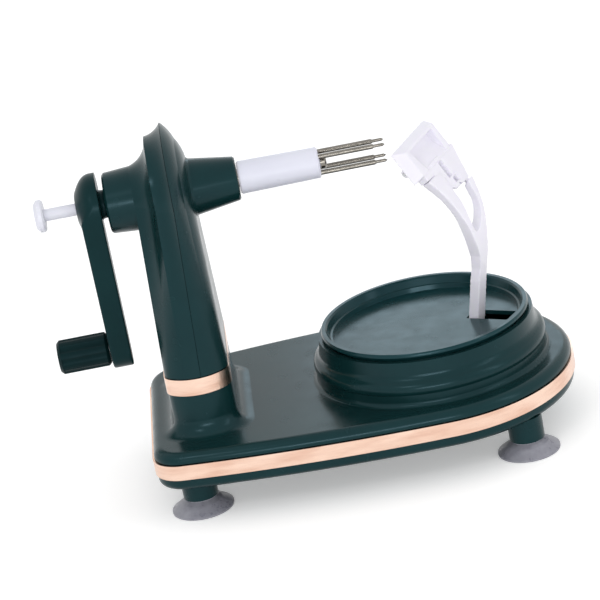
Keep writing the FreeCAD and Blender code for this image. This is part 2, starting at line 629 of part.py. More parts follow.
def make_screws(name, places, head_at, length, axis="z"):
    """Group of like screws, heads at one level, shanks pointing up or ahead."""
    head, shank = value("screw_head_radius"), value("screw_radius")
    height = value("screw_head_height")
    screws = []
    for x, y in places:
        screw = Part.makeCylinder(head, height).fuse(Part.makeCylinder(shank, height + value(length)))
        driver = Part.makeBox(head * 1.3, 0.8, 0.9, Vector(-head * 0.65, -0.4, 0))
        crossed = driver.rotated(Vector(), Vector(0, 0, 1), 90)
        screw = screw.cut(driver.fuse(crossed)).removeSplitter()
        if axis == "x":
            screw.rotate(Vector(), Vector(0, 1, 0), 90)
            screw.translate(Vector(value(head_at), value(x), value(y)))
        else:
            screw.translate(Vector(value("dish_ahead + (%s)" % x), value(y), value(head_at)))
        screws.append(screw)
    add_shape(name, Part.makeCompound(screws))


# Column shells: a lofted shaft under a turned head

def half_head():
    """Head's outline from the rear boss over the shoulder, the ridge and the dome to the front boss."""
    return [
        ("-rear_boss_root", "rear_boss_radius", "+neck_cove"),
        ("-neck_back", "neck_radius"),
        ("-shoulder_back", "shoulder_radius", "+ridge_cove"),
        ("ridge_ahead", "head_radius", "-dome_curve"),
        ("dome_ahead", "dome_radius", "-dome_curve"),
        ("front_boss_root", "front_boss_radius"),
    ]


def half_foot():
    """Column's section at the ring, with the corners that the head's outline has."""
    corners, end, depth = column_half("0")
    middle = "((column_front - column_back) / 2)"

    def on_end(x):
        return (x, "%s - %s + sqrt(%s ^ 2 - (%s - %s) ^ 2)" % (depth, end, end, x, middle), "-" + end)

    rear, rear_join, front_join, front = corners
    return [rear, rear_join, on_end("-shoulder_back_foot"), on_end("ridge_ahead_foot"), front_join, front]


def section(name, corners, level):
    """Closed section at a height."""
    sketch = doc.addObject("Sketcher::SketchObject", name)
    sketch.setExpression("Placement.Base.z", bound(level))
    return draw_outline(sketch, corners)


def loft(name, sections):
    """Straight loft between sections."""
    piece = doc.addObject("Part::Loft", name)
    piece.Sections = sections
    piece.Solid = True
    piece.Ruled = True
    return piece


def combine(kind, name, first, second):
    """Boolean of two objects."""
    piece = doc.addObject("Part::" + kind, name)
    piece.Base = first
    piece.Tool = second
    return piece


def fuse(name, pieces):
    """Joins several objects."""
    piece = doc.addObject("Part::MultiFuse", name)
    piece.Shapes = pieces
    piece.Refine = True
    return piece


def cylinder(name, radius, length, x="0", y="0", z="0", along_x=False):
    """Bound cylinder, upright or along X."""
    piece = doc.addObject("Part::Cylinder", name)
    piece.setExpression("Radius", bound(radius))
    piece.setExpression("Height", bound(length))
    if along_x:
        piece.Placement.Rotation = Rotation(Vector(0, 1, 0), 90)
    for path, text in (("Base.x", x), ("Base.y", y), ("Base.z", z)):
        piece.setExpression("Placement." + path, bound(text))
    return piece


def box(name, low, high, placement=None):
    """Bound box between two corners, each of three expressions."""
    piece = doc.addObject("Part::Box", name)
    for side, start, end in zip(("Length", "Width", "Height"), low, high):
        piece.setExpression(side, bound("(%s) - (%s)" % (end, start)))
    corner = Vector(*[value(text) for text in low])
    if placement is None:
        for path, text in zip(("Base.x", "Base.y", "Base.z"), low):
            piece.setExpression("Placement." + path, bound(text))
    else:
        piece.Placement = placement.multiply(Placement(corner, Rotation()))
    return piece


def turned_tool(name, corners):
    """Turned solid about the spindle axis, as a tool."""
    body = doc.addObject("PartDesign::Body", name)
    revolve(body, name + "_turned", corners, axis="H_Axis")
    return place(body, z="spindle_height")


def make_column():
    """Rear and front shells, split beside the ridge, hollow for the bevel gears and the shaft."""
    foot = section("shaft_foot", both_sides(half_foot()), "ring_top")
    neck = section("shaft_neck", both_sides(half_head()), "spindle_height")
    shaft = loft("shaft_outside", [foot, neck])
    head = turned_tool("head_outside", [
        ("-rear_boss_end", "0"),
        ("-rear_boss_end", "rear_boss_end_radius - 1"),
        ("-rear_boss_end + 1", "rear_boss_end_radius"),
    ] + half_head() + [
        ("front_boss_root + 1.2", "front_boss_radius - 0.9"),
        ("front_boss_end - 0.8", "front_boss_end_radius"),
        ("front_boss_end", "front_boss_end_radius - 0.8"),
        ("front_boss_end", "0"),
    ])
    outside = fuse("column_outside", [shaft, head])
    inner_foot = column_half("column_wall")[0]
    spigot_room = doc.addObject("Part::Extrusion", "spigot_room")
    spigot_room.Base = section("spigot_room_outline", both_sides(inner_foot), "ring_top")
    spigot_room.Dir = Vector(0, 0, 1)
    spigot_room.setExpression("LengthFwd", bound("spigot_rise + 0.4"))
    spigot_room.Solid = True
    rear, front = "-rear_boss_root + column_wall", "front_boss_root - column_wall"
    inner_head = [
        (rear, "rear_boss_radius - 4.4"),
        ("-shoulder_back + 2", "shoulder_radius - 3.6"),
        ("ridge_ahead", "head_radius - 3"),
        (front, "front_boss_radius - 1.8"),
    ]
    hollow_foot = section("hollow_foot", both_sides([corner[:2] for corner in inner_foot]), "ring_top")
    hollow_neck = section("hollow_neck", both_sides(inner_head), "spindle_height")
    hollow_shaft = loft("shaft_inside", [hollow_foot, hollow_neck])
    hollow_head = turned_tool("head_inside", [(rear, "0")] + inner_head + [(front, "0")])
    rear_bore = cylinder("rear_bore", "bush_radius + fit", "rear_boss_end", "-rear_boss_end", "0",
                         "spindle_height", along_x=True)
    front_bore = cylinder("front_bore", "bush_radius + fit", "front_boss_end - front_boss_root + 4",
                          "front_boss_root - 4", "0", "spindle_height", along_x=True)
    rear_sink = cylinder("rear_sink", "bush_flange_radius + fit", "bush_flange", "-rear_boss_end", "0",
                         "spindle_height", along_x=True)
    front_sink = cylinder("front_sink", "bush_flange_radius + fit", "bush_flange", "front_boss_end - bush_flange",
                          "0", "spindle_height", along_x=True)
    hollow = fuse("column_hollow", [hollow_shaft, spigot_room, hollow_head, rear_bore, front_bore, rear_sink,
                                    front_sink])
    casing = combine("Cut", "column_casing", outside, hollow)
    # A web across the shaft holds the upper bush of the drive shaft.
    reach = "column_half_depth"
    slab = box("web_slab", ("-column_back", "-" + reach, "upper_bush_height"),
               ("column_front", reach, "upper_bush_height + web_thick"))
    web_plate = combine("Common", "web_plate", slab, outside)
    web_bore = cylinder("web_bore", "shaft_bush_radius + fit", "web_thick + 2", z="upper_bush_height - 1")
    web = combine("Cut", "web", web_plate, web_bore)
    whole = fuse("column_whole", [casing, web])
    divider = doc.addObject("Sketcher::SketchObject", "divider")
    divider.Placement.Rotation = Rotation(Vector(1, 0, 0), 90)
    draw_outline(divider, [
        ("ridge_ahead_foot", "ring_top - 1"),
        ("column_front + front_boss_end", "ring_top - 1"),
        ("column_front + front_boss_end", "spindle_height + head_radius + 1"),
        ("ridge_ahead", "spindle_height + head_radius + 1"),
        ("ridge_ahead", "spindle_height"),
    ])
    ahead = doc.addObject("Part::Extrusion", "ahead_of_seam")
    ahead.Base = divider
    ahead.Dir = Vector(0, 1, 0)
    ahead.setExpression("LengthFwd", bound("column_half_depth + 2"))
    ahead.setExpression("LengthRev", bound("column_half_depth + 2"))
    ahead.Solid = True
    ahead_open = doc.addObject("Part::Extrusion", "ahead_of_line")
    ahead_open.Base = divider
    ahead_open.Dir = Vector(0, 1, 0)
    ahead_open.setExpression("LengthFwd", bound("column_half_depth + 2"))
    ahead_open.setExpression("LengthRev", bound("column_half_depth + 2"))
    ahead_open.Solid = True
    ahead_open.setExpression("Placement.Base.x", bound("seam"))
    name_part(combine("Cut", "column_rear_shell", whole, ahead), "column_rear_shell")
    name_part(combine("Common", "column_front_shell", whole, ahead_open), "column_front_shell")


# Turning pieces on the spindle axis

def turned(name, corners):
    """Sub-part turned about the spindle axis."""
    body = add_body(name)
    revolve(body, name + "_turned", corners, axis="H_Axis")
    return place(body, z="spindle_height")


def make_spindle():
    """Hollow spindle, its two bushes, the fork's sleeve, tines and ejector, and the push rod."""
    bore = "rod_radius + running"
    back = "crank_front + crank_thick + 1"
    turned("spindle", [
        ("-(%s)" % back, bore), ("spindle_front", bore),
        ("spindle_front", "spindle_radius"), ("-(%s)" % back, "spindle_radius"),
    ])
    running = "spindle_radius + running"
    turned("rear_bush", [
        ("-rear_boss_end", running), ("-rear_boss_root", running), ("-rear_boss_root", "bush_radius"),
        ("-rear_boss_end + bush_flange", "bush_radius"), ("-rear_boss_end + bush_flange", "bush_flange_radius"),
        ("-rear_boss_end", "bush_flange_radius"),
    ])
    turned("front_bush", [
        ("front_boss_root", running), ("front_boss_end", running), ("front_boss_end", "bush_flange_radius"),
        ("front_boss_end - bush_flange", "bush_flange_radius"), ("front_boss_end - bush_flange", "bush_radius"),
        ("front_boss_root", "bush_radius"),
    ])
    seat = "spindle_radius + fit"
    sleeve = turned("fork_sleeve", [
        ("sleeve_start", seat), ("spindle_front + fit", seat), ("spindle_front + fit", bore), ("sleeve_end", bore),
        ("sleeve_end", "sleeve_front_radius - 0.8"), ("sleeve_end - 0.8", "sleeve_front_radius", ),
        ("sleeve_start + 0.8", "sleeve_rear_radius"), ("sleeve_start", "sleeve_rear_radius - 0.8"),
    ])
    corners = [(a + "tine_spread", b + "tine_spread") for a, b in (("", ""), ("-", ""), ("-", "-"), ("", "-"))]
    holes = draw_circles(add_sketch(sleeve, "tine_seats", "YZ_Plane", "sleeve_end"),
                         [(y, z, "tine_radius + fit") for y, z in corners])
    pocket(sleeve, "tine_seat_holes", holes, "tine_seat")
    tines = []
    start, step, tip = value("sleeve_end - tine_seat + fit"), value("tine_step"), value("tine_tip")
    thick, thin = value("tine_radius"), value("tine_point_radius")
    for y, z in corners:
        outline = [Vector(start, 0, 0), Vector(start, 0, thick), Vector(step - 0.8, 0, thick), Vector(step, 0, thin),
                   Vector(tip - 1.2, 0, thin), Vector(tip, 0, 0), Vector(start, 0, 0)]
        tine = Part.Face(Part.makePolygon(outline)).revolve(Vector(), Vector(1, 0, 0), 360)
        tine.translate(Vector(0, value(y), value("spindle_height + " + z)))
        tines.append(tine)
    add_shape("fork_tines", Part.makeCompound(tines))
    turned("push_rod", [
        ("-knob_face", "0"), ("sleeve_end + 0.6", "0"), ("sleeve_end + 0.6", "rod_radius"),
        ("-knob_face", "rod_radius"),
    ])
    turned("ejector", [
        ("sleeve_end + 0.6", "0"), ("sleeve_end + 0.6 + ejector_length", "0"),
        ("sleeve_end + 0.6 + ejector_length", "ejector_radius - 0.9"),
        ("sleeve_end - 0.3 + ejector_length", "ejector_radius"), ("sleeve_end + 0.6", "ejector_radius"),
    ])
    outer = "-knob_face - knob_thick"
    turned("push_knob", [
        (outer, "0"), ("-knob_face", "0"), ("-knob_face", "knob_radius - 0.9"),
        ("-knob_face - 0.9", "knob_radius"), (outer + " + 1.6", "knob_radius"), (outer, "knob_radius - 1.8"),
    ])


def draw_crank(sketch, inset):
    """Crank arm's outline: two round ends joined by tangent sides, hanging down."""
    top = value("crank_top_radius - (%s)" % inset)
    low = value("crank_grip_radius - (%s)" % inset)
    reach = value("crank_reach")
    lean = math.asin((top - low) / reach)
    side = Vector(math.cos(lean), -math.sin(lean), 0)
    upper = side * top
    lower = Vector(0, -reach, 0) + side * low
    for centre, radius, start, finish in ((Vector(), top, upper, Vector(-upper.x, upper.y, 0)),
                                          (Vector(0, -reach, 0), low, Vector(-lower.x, lower.y, 0), lower)):
        circle = Part.Circle(centre, Vector(0, 0, 1), radius)
        sketch.addGeometry(Part.ArcOfCircle(circle, circle.parameter(start), circle.parameter(finish)), False)
    sketch.addGeometry(Part.LineSegment(lower, upper), False)
    sketch.addGeometry(Part.LineSegment(Vector(-upper.x, upper.y, 0), Vector(-lower.x, lower.y, 0)), False)
    for a, a_end, b, b_end in ((2, 2, 0, 1), (0, 2, 3, 1), (3, 2, 1, 1), (1, 2, 2, 1)):
        sketch.addConstraint(Sketcher.Constraint("Tangent", a, a_end, b, b_end))
    sketch.addConstraint(Sketcher.Constraint("Coincident", 0, 3, -1, 1))
    sketch.addConstraint(Sketcher.Constraint("PointOnObject", 1, 3, -2))
    for kind, items, text in (("Radius", (0,), "crank_top_radius - (%s)" % inset),
                              ("Radius", (1,), "crank_grip_radius - (%s)" % inset),
                              ("DistanceY", (-1, 1, 1, 3), "-crank_reach")):
        index = sketch.addConstraint(Sketcher.Constraint(kind, *items, value(text)))
        sketch.setExpression("Constraints[%d]" % index, bound(text))
    return sketch


def make_crank():
    """Crank arm with its crowned upper end, and the grip on its pin."""
    body = add_body("crank_arm")
    back = "-(crank_front + crank_thick)"
    plan = draw_crank(add_sketch(body, "crank_plan", "YZ_Plane", back), "0")
    arm = pad(body, "crank_plate", plan, "crank_thick")
    round_edges(body, "crank_edges", arm, "crank_edge", lambda edge: edge.BoundBox.XLength < 1e-4)
    revolve(body, "crank_crown", [
        (back + " + 1", "rod_radius + 0.3"), (back + " + 1", "crank_top_radius - crank_edge - 0.6"),
        (back, "crank_top_radius - crank_edge - 0.6", "-30"),
        (back + " - crank_crown", "spindle_radius + 3"), (back + " - crank_crown", "rod_radius + 0.3"),
    ], axis="H_Axis")
    hub = draw_circles(add_sketch(body, "crank_hub", "YZ_Plane", "-crank_front - 0.5"), [("0", "0", "bush_radius")])
    pad(body, "crank_hub_pad", hub, "crank_front - rear_boss_end - 0.4 + 0.5")
    bore = draw_circles(add_sketch(body, "spindle_bore", "YZ_Plane", "-rear_boss_end"),
                        [("0", "0", "spindle_radius + fit")])
    pocket(body, "spindle_bore_hole", bore, "crank_front + crank_thick + 1.2 - rear_boss_end")
    pin_hole = draw_circles(add_sketch(body, "grip_pin_seat", "YZ_Plane", back),
                            [("0", "-crank_reach", "grip_pin_radius + fit")])
    pocket(body, "grip_pin_hole", pin_hole, "crank_thick - 2", upwards=True)
    place(body, z="spindle_height")

    pin = add_body("grip_pin")
    revolve(pin, "grip_pin_turned", [
        ("-grip_end + 2.2", "0"), ("-(crank_front + 2.2)", "0"), ("-(crank_front + 2.2)", "grip_pin_radius"),
        ("-grip_end + 4.2", "grip_pin_radius"), ("-grip_end + 4.2", "grip_pin_radius + 2.2"),
        ("-grip_end + 2.2", "grip_pin_radius + 2.2"),
    ], axis="H_Axis")
    place(pin, z="spindle_height - crank_reach")

    grip = add_body("crank_grip")
    running = "grip_pin_radius + running"
    revolve(grip, "grip_turned", [
        ("-grip_start", running), ("-grip_end + 4.4", running), ("-grip_end + 4.4", "grip_pin_radius + 2.5"),
        ("-grip_end", "grip_pin_radius + 2.5"), ("-grip_end", "grip_radius - 1.4"),
        ("-grip_end + 1.4", "grip_radius"), ("-grip_start - 1.4", "grip_radius"), ("-grip_start", "grip_radius - 1.4"),
    ], axis="H_Axis")
    flute = draw_circles(add_sketch(grip, "grip_flute", "YZ_Plane", "-grip_start - 1.6"),
                         [("0", "grip_radius + grip_flute_radius * 0.82", "grip_flute_radius")])
    cut = pocket(grip, "grip_flute_cut", flute, "grip_end - grip_start - 3.2")
    flutes = grip.newObject("PartDesign::PolarPattern", "grip_flutes_round")
    flutes.Originals = [cut]
    flutes.Axis = (flute, ["N_Axis"])
    flutes.Angle = 360
    flutes.setExpression("Occurrences", bound("grip_flutes"))
    for feature in grip.Origin.OriginFeatures:
        if feature.Role == "X_Axis":
            flutes.Axis = (feature, [""])
    grip.Tip = flutes
    place(grip, z="spindle_height - crank_reach")


# Gears: involute flanks, each drawn as one arc

def involute(angle):
    """Involute function of an angle in radians."""
    return math.tan(angle) - angle


def tooth_half_angle(teeth, module, radius):
    """Half of a tooth's angle at a radius."""
    pressure = math.radians(value("pressure_angle"))
    pitch = teeth * module / 2
    at_radius = math.acos(min(1.0, pitch * math.cos(pressure) / radius))
    half = math.pi / (2 * teeth) - value("backlash") / (4 * pitch)
    return half + involute(pressure) - involute(at_radius)


def gear_wire(teeth, flank, phase):
    """Gear outline; flank gives (radius, half angle) at the foot, middle and tip of a tooth."""
    foot, middle, tip = flank

    def at(point, centre, side):
        angle = centre + side * point[1]
        return Vector(point[0] * math.cos(angle), point[0] * math.sin(angle), 0)

    edges = []
    for i in range(int(teeth)):
        centre = phase + 2 * math.pi * i / teeth
        following = centre + 2 * math.pi / teeth
        edges.append(Part.Arc(at(foot, centre, -1), at(middle, centre, -1), at(tip, centre, -1)).toShape())
        edges.append(Part.makeLine(at(tip, centre, -1), at(tip, centre, 1)))
        edges.append(Part.Arc(at(tip, centre, 1), at(middle, centre, 1), at(foot, centre, 1)).toShape())
        edges.append(Part.makeLine(at(foot, centre, 1), at(foot, following, -1)))
    return Part.Wire(edges)


def spur(teeth, phase, thick):
    """Spur gear without its bore."""
    module = value("spur_module")
    pitch = teeth * module / 2
    base = pitch * math.cos(math.radians(value("pressure_angle")))
    foot = max(pitch - 1.05 * module, 0.0)
    tip = pitch + 0.8 * module
    start = max(foot, base)
    middle = (start + tip) / 2
    flank = [(foot, tooth_half_angle(teeth, module, start)), (middle, tooth_half_angle(teeth, module, middle)),
             (tip, tooth_half_angle(teeth, module, tip))]
    return Part.Face(gear_wire(teeth, flank, phase)).extrude(Vector(0, 0, thick))


def bevel(phase):
    """Mitre gear about Z, its cone's point at the origin and its broad end above."""
    teeth, module = value("bevel_teeth"), value("bevel_module")
    pitch = teeth * module / 2
    back_cone = pitch * math.sqrt(2)
    virtual = teeth * math.sqrt(2)
    flank = []
    for height in (-1.05 * module, 0.0, 0.8 * module):
        level = pitch - height / math.sqrt(2)
        radius = (pitch + height / math.sqrt(2)) * pitch / level
        base = back_cone * math.cos(math.radians(value("pressure_angle")))
        on_flank = max(back_cone + height, base)
        width = on_flank * tooth_half_angle(virtual, module, on_flank) * pitch / level
        flank.append((radius, width / radius))
    outer = gear_wire(teeth, flank, phase)
    inner = outer.copy()
    small = 1 - value("bevel_face") / pitch
    inner.scale(small)
    outer.translate(Vector(0, 0, pitch))
    inner.translate(Vector(0, 0, pitch * small))
    return Part.makeLoft([inner, outer], True, True), pitch


def make_gears():
    """Mitre gears at the head, the drive shaft, and two spur steps down to the dish."""
    seat = value("shaft_radius + fit")
    spindle_seat = value("spindle_radius + fit")
    half_pitch = math.pi / value("bevel_teeth")
    upper, pitch = bevel(0)
    hub = Part.makeCylinder(value("gear_hub_radius + 0.6"), 3.6, Vector(0, 0, pitch))
    upper = upper.fuse(hub).cut(Part.makeCylinder(spindle_seat, 60))
    at_head = Vector(0, 0, value("spindle_height"))
    add_shape("spindle_gear", upper, Placement(at_head, Rotation(Vector(0, 1, 0), 90)))
    lower, pitch = bevel(half_pitch)
    hub = Part.makeCylinder(value("gear_hub_radius"), 3.4, Vector(0, 0, pitch))
    lower = lower.fuse(hub).cut(Part.makeCylinder(seat, 60))
    add_shape("shaft_gear", lower, Placement(at_head, Rotation(Vector(1, 0, 0), 180)))

    name_part(cylinder("drive_shaft", "shaft_radius",
                       "spindle_height - bevel_module * bevel_teeth / 2 + bevel_face - shaft_bottom",
                       z="shaft_bottom"), "drive_shaft")
    teeth, wheel = value("pinion_teeth"), value("wheel_teeth")
    thick = value("wheel_thick")
    pinion = spur(teeth, 0, thick + 0.6)
    collar = Part.makeCylinder(value("shaft_bush_radius"), 2.2, Vector(0, 0, thick + 0.6))
    pinion = pinion.fuse(collar).cut(Part.makeCylinder(seat, 30))
    add_shape("drive_pinion", pinion, Placement(Vector(0, 0, value("first_wheel_bottom")), Rotation()))

    first = spur(wheel, math.pi / wheel, thick)
    step = value("second_wheel_bottom - first_wheel_bottom")
    second = spur(teeth, 0, step + thick + 0.4 - thick)
    second.translate(Vector(0, 0, thick))
    post_seat = Part.makeCylinder(value("gear_post_radius + running"), 30)
    middle = first.fuse(second).cut(post_seat)
    centre = Vector(value(MIDDLE_GEAR), 0, value("first_wheel_bottom"))
    add_shape("middle_gear", middle, Placement(centre, Rotation()))

    last = spur(wheel, math.pi / wheel, thick)
    sink = Part.makeCylinder(value("hub_radius + fit"), 1.5, Vector(0, 0, thick - 1.5))
    last = last.cut(sink).cut(Part.makeCylinder(value("axle_radius + running + 0.1"), 30))
    for i in range(3):
        place_at = Rotation(Vector(0, 0, 1), 120 * i).multVec(Vector(value("(hub_radius + axle_radius) / 2"), 0, 0))
        hole = Part.makeCylinder(value("gear_screw_radius + fit"), 30, place_at)
        last = last.cut(hole).cut(Part.makeCylinder(value("gear_screw_radius * 2 + fit"), 1.3, place_at))
    centre = Vector(value("dish_ahead"), 0, value("second_wheel_bottom"))
    add_shape("dish_gear", last, Placement(centre, Rotation()))

    for name, low, length in (("upper_shaft_bush", "upper_bush_height", "web_thick"),
                              ("lower_shaft_bush", "deck_top - wall", "wall")):
        body = add_body(name)
        top = "%s + %s" % (low, length)
        running = "shaft_radius + running"
        revolve(body, name + "_turned", [
            (running, low + " - 0.4"), ("shaft_bush_radius", low + " - 0.4"), ("shaft_bush_radius", top),
            ("shaft_bush_radius + 1.8", top), ("shaft_bush_radius + 1.8", top + " + 1.2"), (running, top + " + 1.2"),
        ])


# Dish and what turns with it. X runs from the dish axis along the arm's slot, Z up from the dish's floor.

def dish_frame():
    """Placement of the dish's own frame at rest."""
    return Placement(Vector(value("dish_ahead"), 0, value("dish_floor")), Rotation(Vector(0, 0, 1), -value("dish_turn")))


def bind_to_dish(piece):
    """Places a piece in the dish's frame."""
    return place(piece, x="dish_ahead", z="dish_floor", turn="-dish_turn")


PIVOT_REACH = "(arm_foot_reach - arm_pivot_drop * tan(arm_lean * 1 deg))"
SPRING_START = "(slot_offset + arm_width / 2 + spring_wire / 2 + 0.2)"
GEAR_SCREWS = [
    ("(hub_radius + axle_radius) / 2 * cos(dish_turn * 1 deg)", "(hub_radius + axle_radius) / 2 * sin(dish_turn * 1 deg)"),
    ("(hub_radius + axle_radius) / 2 * cos((dish_turn + 120) * 1 deg)",
     "(hub_radius + axle_radius) / 2 * sin((dish_turn + 120) * 1 deg)"),
    ("(hub_radius + axle_radius) / 2 * cos((dish_turn + 240) * 1 deg)",
     "(hub_radius + axle_radius) / 2 * sin((dish_turn + 240) * 1 deg)"),
]


def make_dish():
    """Dish with its stepped rim, the arm's slot, the ears of the hinge pin and the hub."""
    body = add_body("dish")
    rim = "(dish_rim_top - dish_floor)"
    revolve(body, "dish_turned", [
        ("0", "0"),
        ("dish_floor_radius", "0"),
        ("dish_floor_radius + 0.6", rim + " * 0.34"),
        ("dish_floor_radius + 1.6", rim + " * 0.38"),
        ("dish_rim_radius - dish_lip_width - 0.5", rim + " - 0.9"),
        ("dish_rim_radius - dish_lip_width + 0.3", rim),
        ("dish_rim_radius - 0.8", rim, "-2.6"),
        ("dish_rim_radius - 0.2", rim + " - dish_lip_thick"),
        ("collar_bore - 0.9", rim + " - dish_lip_thick"),
        ("collar_bore - 1.3", rim + " * 0.3"),
        ("dish_floor_radius + 0.6", "-dish_thick"),
        ("hub_radius + 3", "-dish_thick", "+3"),
        ("hub_radius", "-dish_thick - 3"),
        ("hub_radius", "second_wheel_bottom + wheel_thick - 1.4 - dish_floor"),
        ("axle_radius + running", "second_wheel_bottom + wheel_thick - 1.4 - dish_floor"),
        ("axle_radius + running", "-dish_thick - 3 + fit"),
        ("0", "-dish_thick - 3 + fit"),
    ])
    slot = add_sketch(body, "arm_slot", "XY_Plane", "1")
    near, far = "slot_offset - slot_width / 2", "slot_offset + slot_width / 2"
    draw_outline(slot, [
        ("slot_inner + 1.2", near), ("slot_outer - 1.2", near, "+1.2"),
        ("slot_outer", near + " + 1.2"), ("slot_outer", far + " - 1.2", "+1.2"),
        ("slot_outer - 1.2", far), ("slot_inner + 1.2", far, "+1.2"),
        ("slot_inner", far + " - 1.2"), ("slot_inner", near + " + 1.2", "+1.2"),
    ])
    pocket(body, "arm_slot_cut", slot, "dish_thick + 2")
    eye = "(arm_eye_radius + 0.6)"
    for name, level in (("near_ear", near + " - ear_gap"), ("far_ear", far + " + far_ear_gap + ear_thick")):
        ear = add_sketch(body, name, "XZ_Plane", "-(%s)" % level)
        draw_outline(ear, [
            (PIVOT_REACH + " - 11", "-dish_thick / 2"), (PIVOT_REACH + " - 9", "-arm_pivot_drop + 2"),
            (PIVOT_REACH + " - " + eye, "-arm_pivot_drop", "+" + eye),
            (PIVOT_REACH, "-arm_pivot_drop - " + eye, "+" + eye),
            (PIVOT_REACH + " + " + eye, "-arm_pivot_drop"), (PIVOT_REACH + " + 1", "-dish_thick / 2"),
        ])
        pad(body, name + "_pad", ear, "ear_thick")
    pin = draw_circles(add_sketch(body, "pin_bore", "XZ_Plane", "-(%s - 12)" % near),
                       [(PIVOT_REACH, "-arm_pivot_drop", "arm_pin_radius + fit")])
    pocket(body, "pin_bore_hole", pin, "slot_width + 30")
    end = "second_wheel_bottom + wheel_thick - 1.4 - dish_floor"
    screws = draw_circles(add_sketch(body, "gear_screw_seats", "XY_Plane", end),
                          [(x, y, "gear_screw_radius + fit") for x, y in GEAR_SCREWS])
    pocket(body, "gear_screw_holes", screws, "gear_screw_length", upwards=True)
    leg = draw_circles(add_sketch(body, "spring_seat", "XY_Plane", "-dish_thick"),
                       [(PIVOT_REACH + " - spring_radius", SPRING_START + " + spring_turns * spring_pitch",
                         "spring_wire / 2 + fit")])
    pocket(body, "spring_seat_hole", leg, "dish_thick / 2 + fit", upwards=True)
    bind_to_dish(body)


# Blade arm: the outline from the side meets the outline from the front

# Seen along the dish: reach from the dish axis and height above its floor, up the outer edge and back.
BOW_REACH = "arm_foot_reach + arm_bow_start * tan(arm_lean * 1 deg)"
ARM_SIDE = [
    (BOW_REACH + " + arm_thick / 2 * cos(arm_lean * 1 deg)",
     "arm_bow_start - arm_thick / 2 * sin(arm_lean * 1 deg)", "+58"),
    ("head_out + 14.74", "head_rise - 15.8"), ("head_out + 11.44", "head_rise - 12"),
    ("head_out + 7.44", "head_rise - 15.4"), ("head_out + 10.74", "head_rise - 19.2", "-63.8"),
    (BOW_REACH + " - arm_thick / 2 * cos(arm_lean * 1 deg)",
     "arm_bow_start + arm_thick / 2 * sin(arm_lean * 1 deg)"),
]
# Seen from outside: place along the slot's short side and height, round both prongs.
ARM_FRONT = [
    ("slot_offset + arm_width / 2", "arm_bow_start + 0.7", "-104"),
    ("far_leg - head_side + 11", "head_rise - 21"), ("far_leg - head_side + 3.2", "head_rise - 21"),
    ("24.4", "head_rise - 30.7"), ("21", "head_rise - 37.5"), ("16.2", "head_rise - 48.6", "-1.6"),
    ("13.8", "head_rise - 47.3"), ("10", "head_rise - 34.2"), ("6.9", "head_rise - 22.7"),
    ("near_lug - head_side + 3.9", "head_rise - 13"), ("near_lug - head_side - 3.7", "head_rise - 12"),
    ("slot_offset - arm_width / 2", "arm_bow_start + 0.7"),
]
# In the head's plane: place along the tray and below its upper edge.
NEAR_LUG = [("4.8", "-18"), ("4.8", "-near_lug_drop"), ("12.3", "-near_lug_drop"), ("12.9", "-18")]
FAR_LEG = [
    ("21.5", "-18"), ("24.4", "-33.6"), ("29.6", "-far_leg_drop"), ("38.2", "-far_leg_drop"),
    ("tray_length - 0.4", "-18"),
]
NEAR_TENON = "near_lug - 0.8"
HEAD_WEB = [("12", "-18"), ("12.6", "-near_lug_drop"), ("23", "-near_lug_drop"), ("22.2", "-18")]
BLADE_START = "(tray_length / 2 - blade_span / 2)"
BLADE_END = "(tray_length / 2 + blade_span / 2)"
RECESS = [("7", "-5"), ("10.4", "-18.2"), ("34", "-18.2"), ("35", "-5")]


def head_frame():
    """Placement of the blade head's own frame: X out of the tray, Y along it, Z to its upper edge."""
    corner = Vector(value("head_out"), -value("head_side"), value("head_rise"))
    tilt = Rotation(Vector(0, 1, 0), -value("head_tilt"))
    roll = Rotation(Vector(1, 0, 0), value("head_roll"))
    return dish_frame().multiply(Placement(corner, tilt.multiply(roll)))


def tenon_box(name, middle, drop, grow):
    """Square peg between a prong and the head."""
    half = "(tenon / 2 + %s)" % grow
    return box(name, ("prong_depth / 2 - " + half, middle + " - " + half, "-%s - seam - 2" % drop),
               ("prong_depth / 2 + " + half, middle + " + " + half, "-%s + tenon + %s" % (drop, grow)), head_frame())


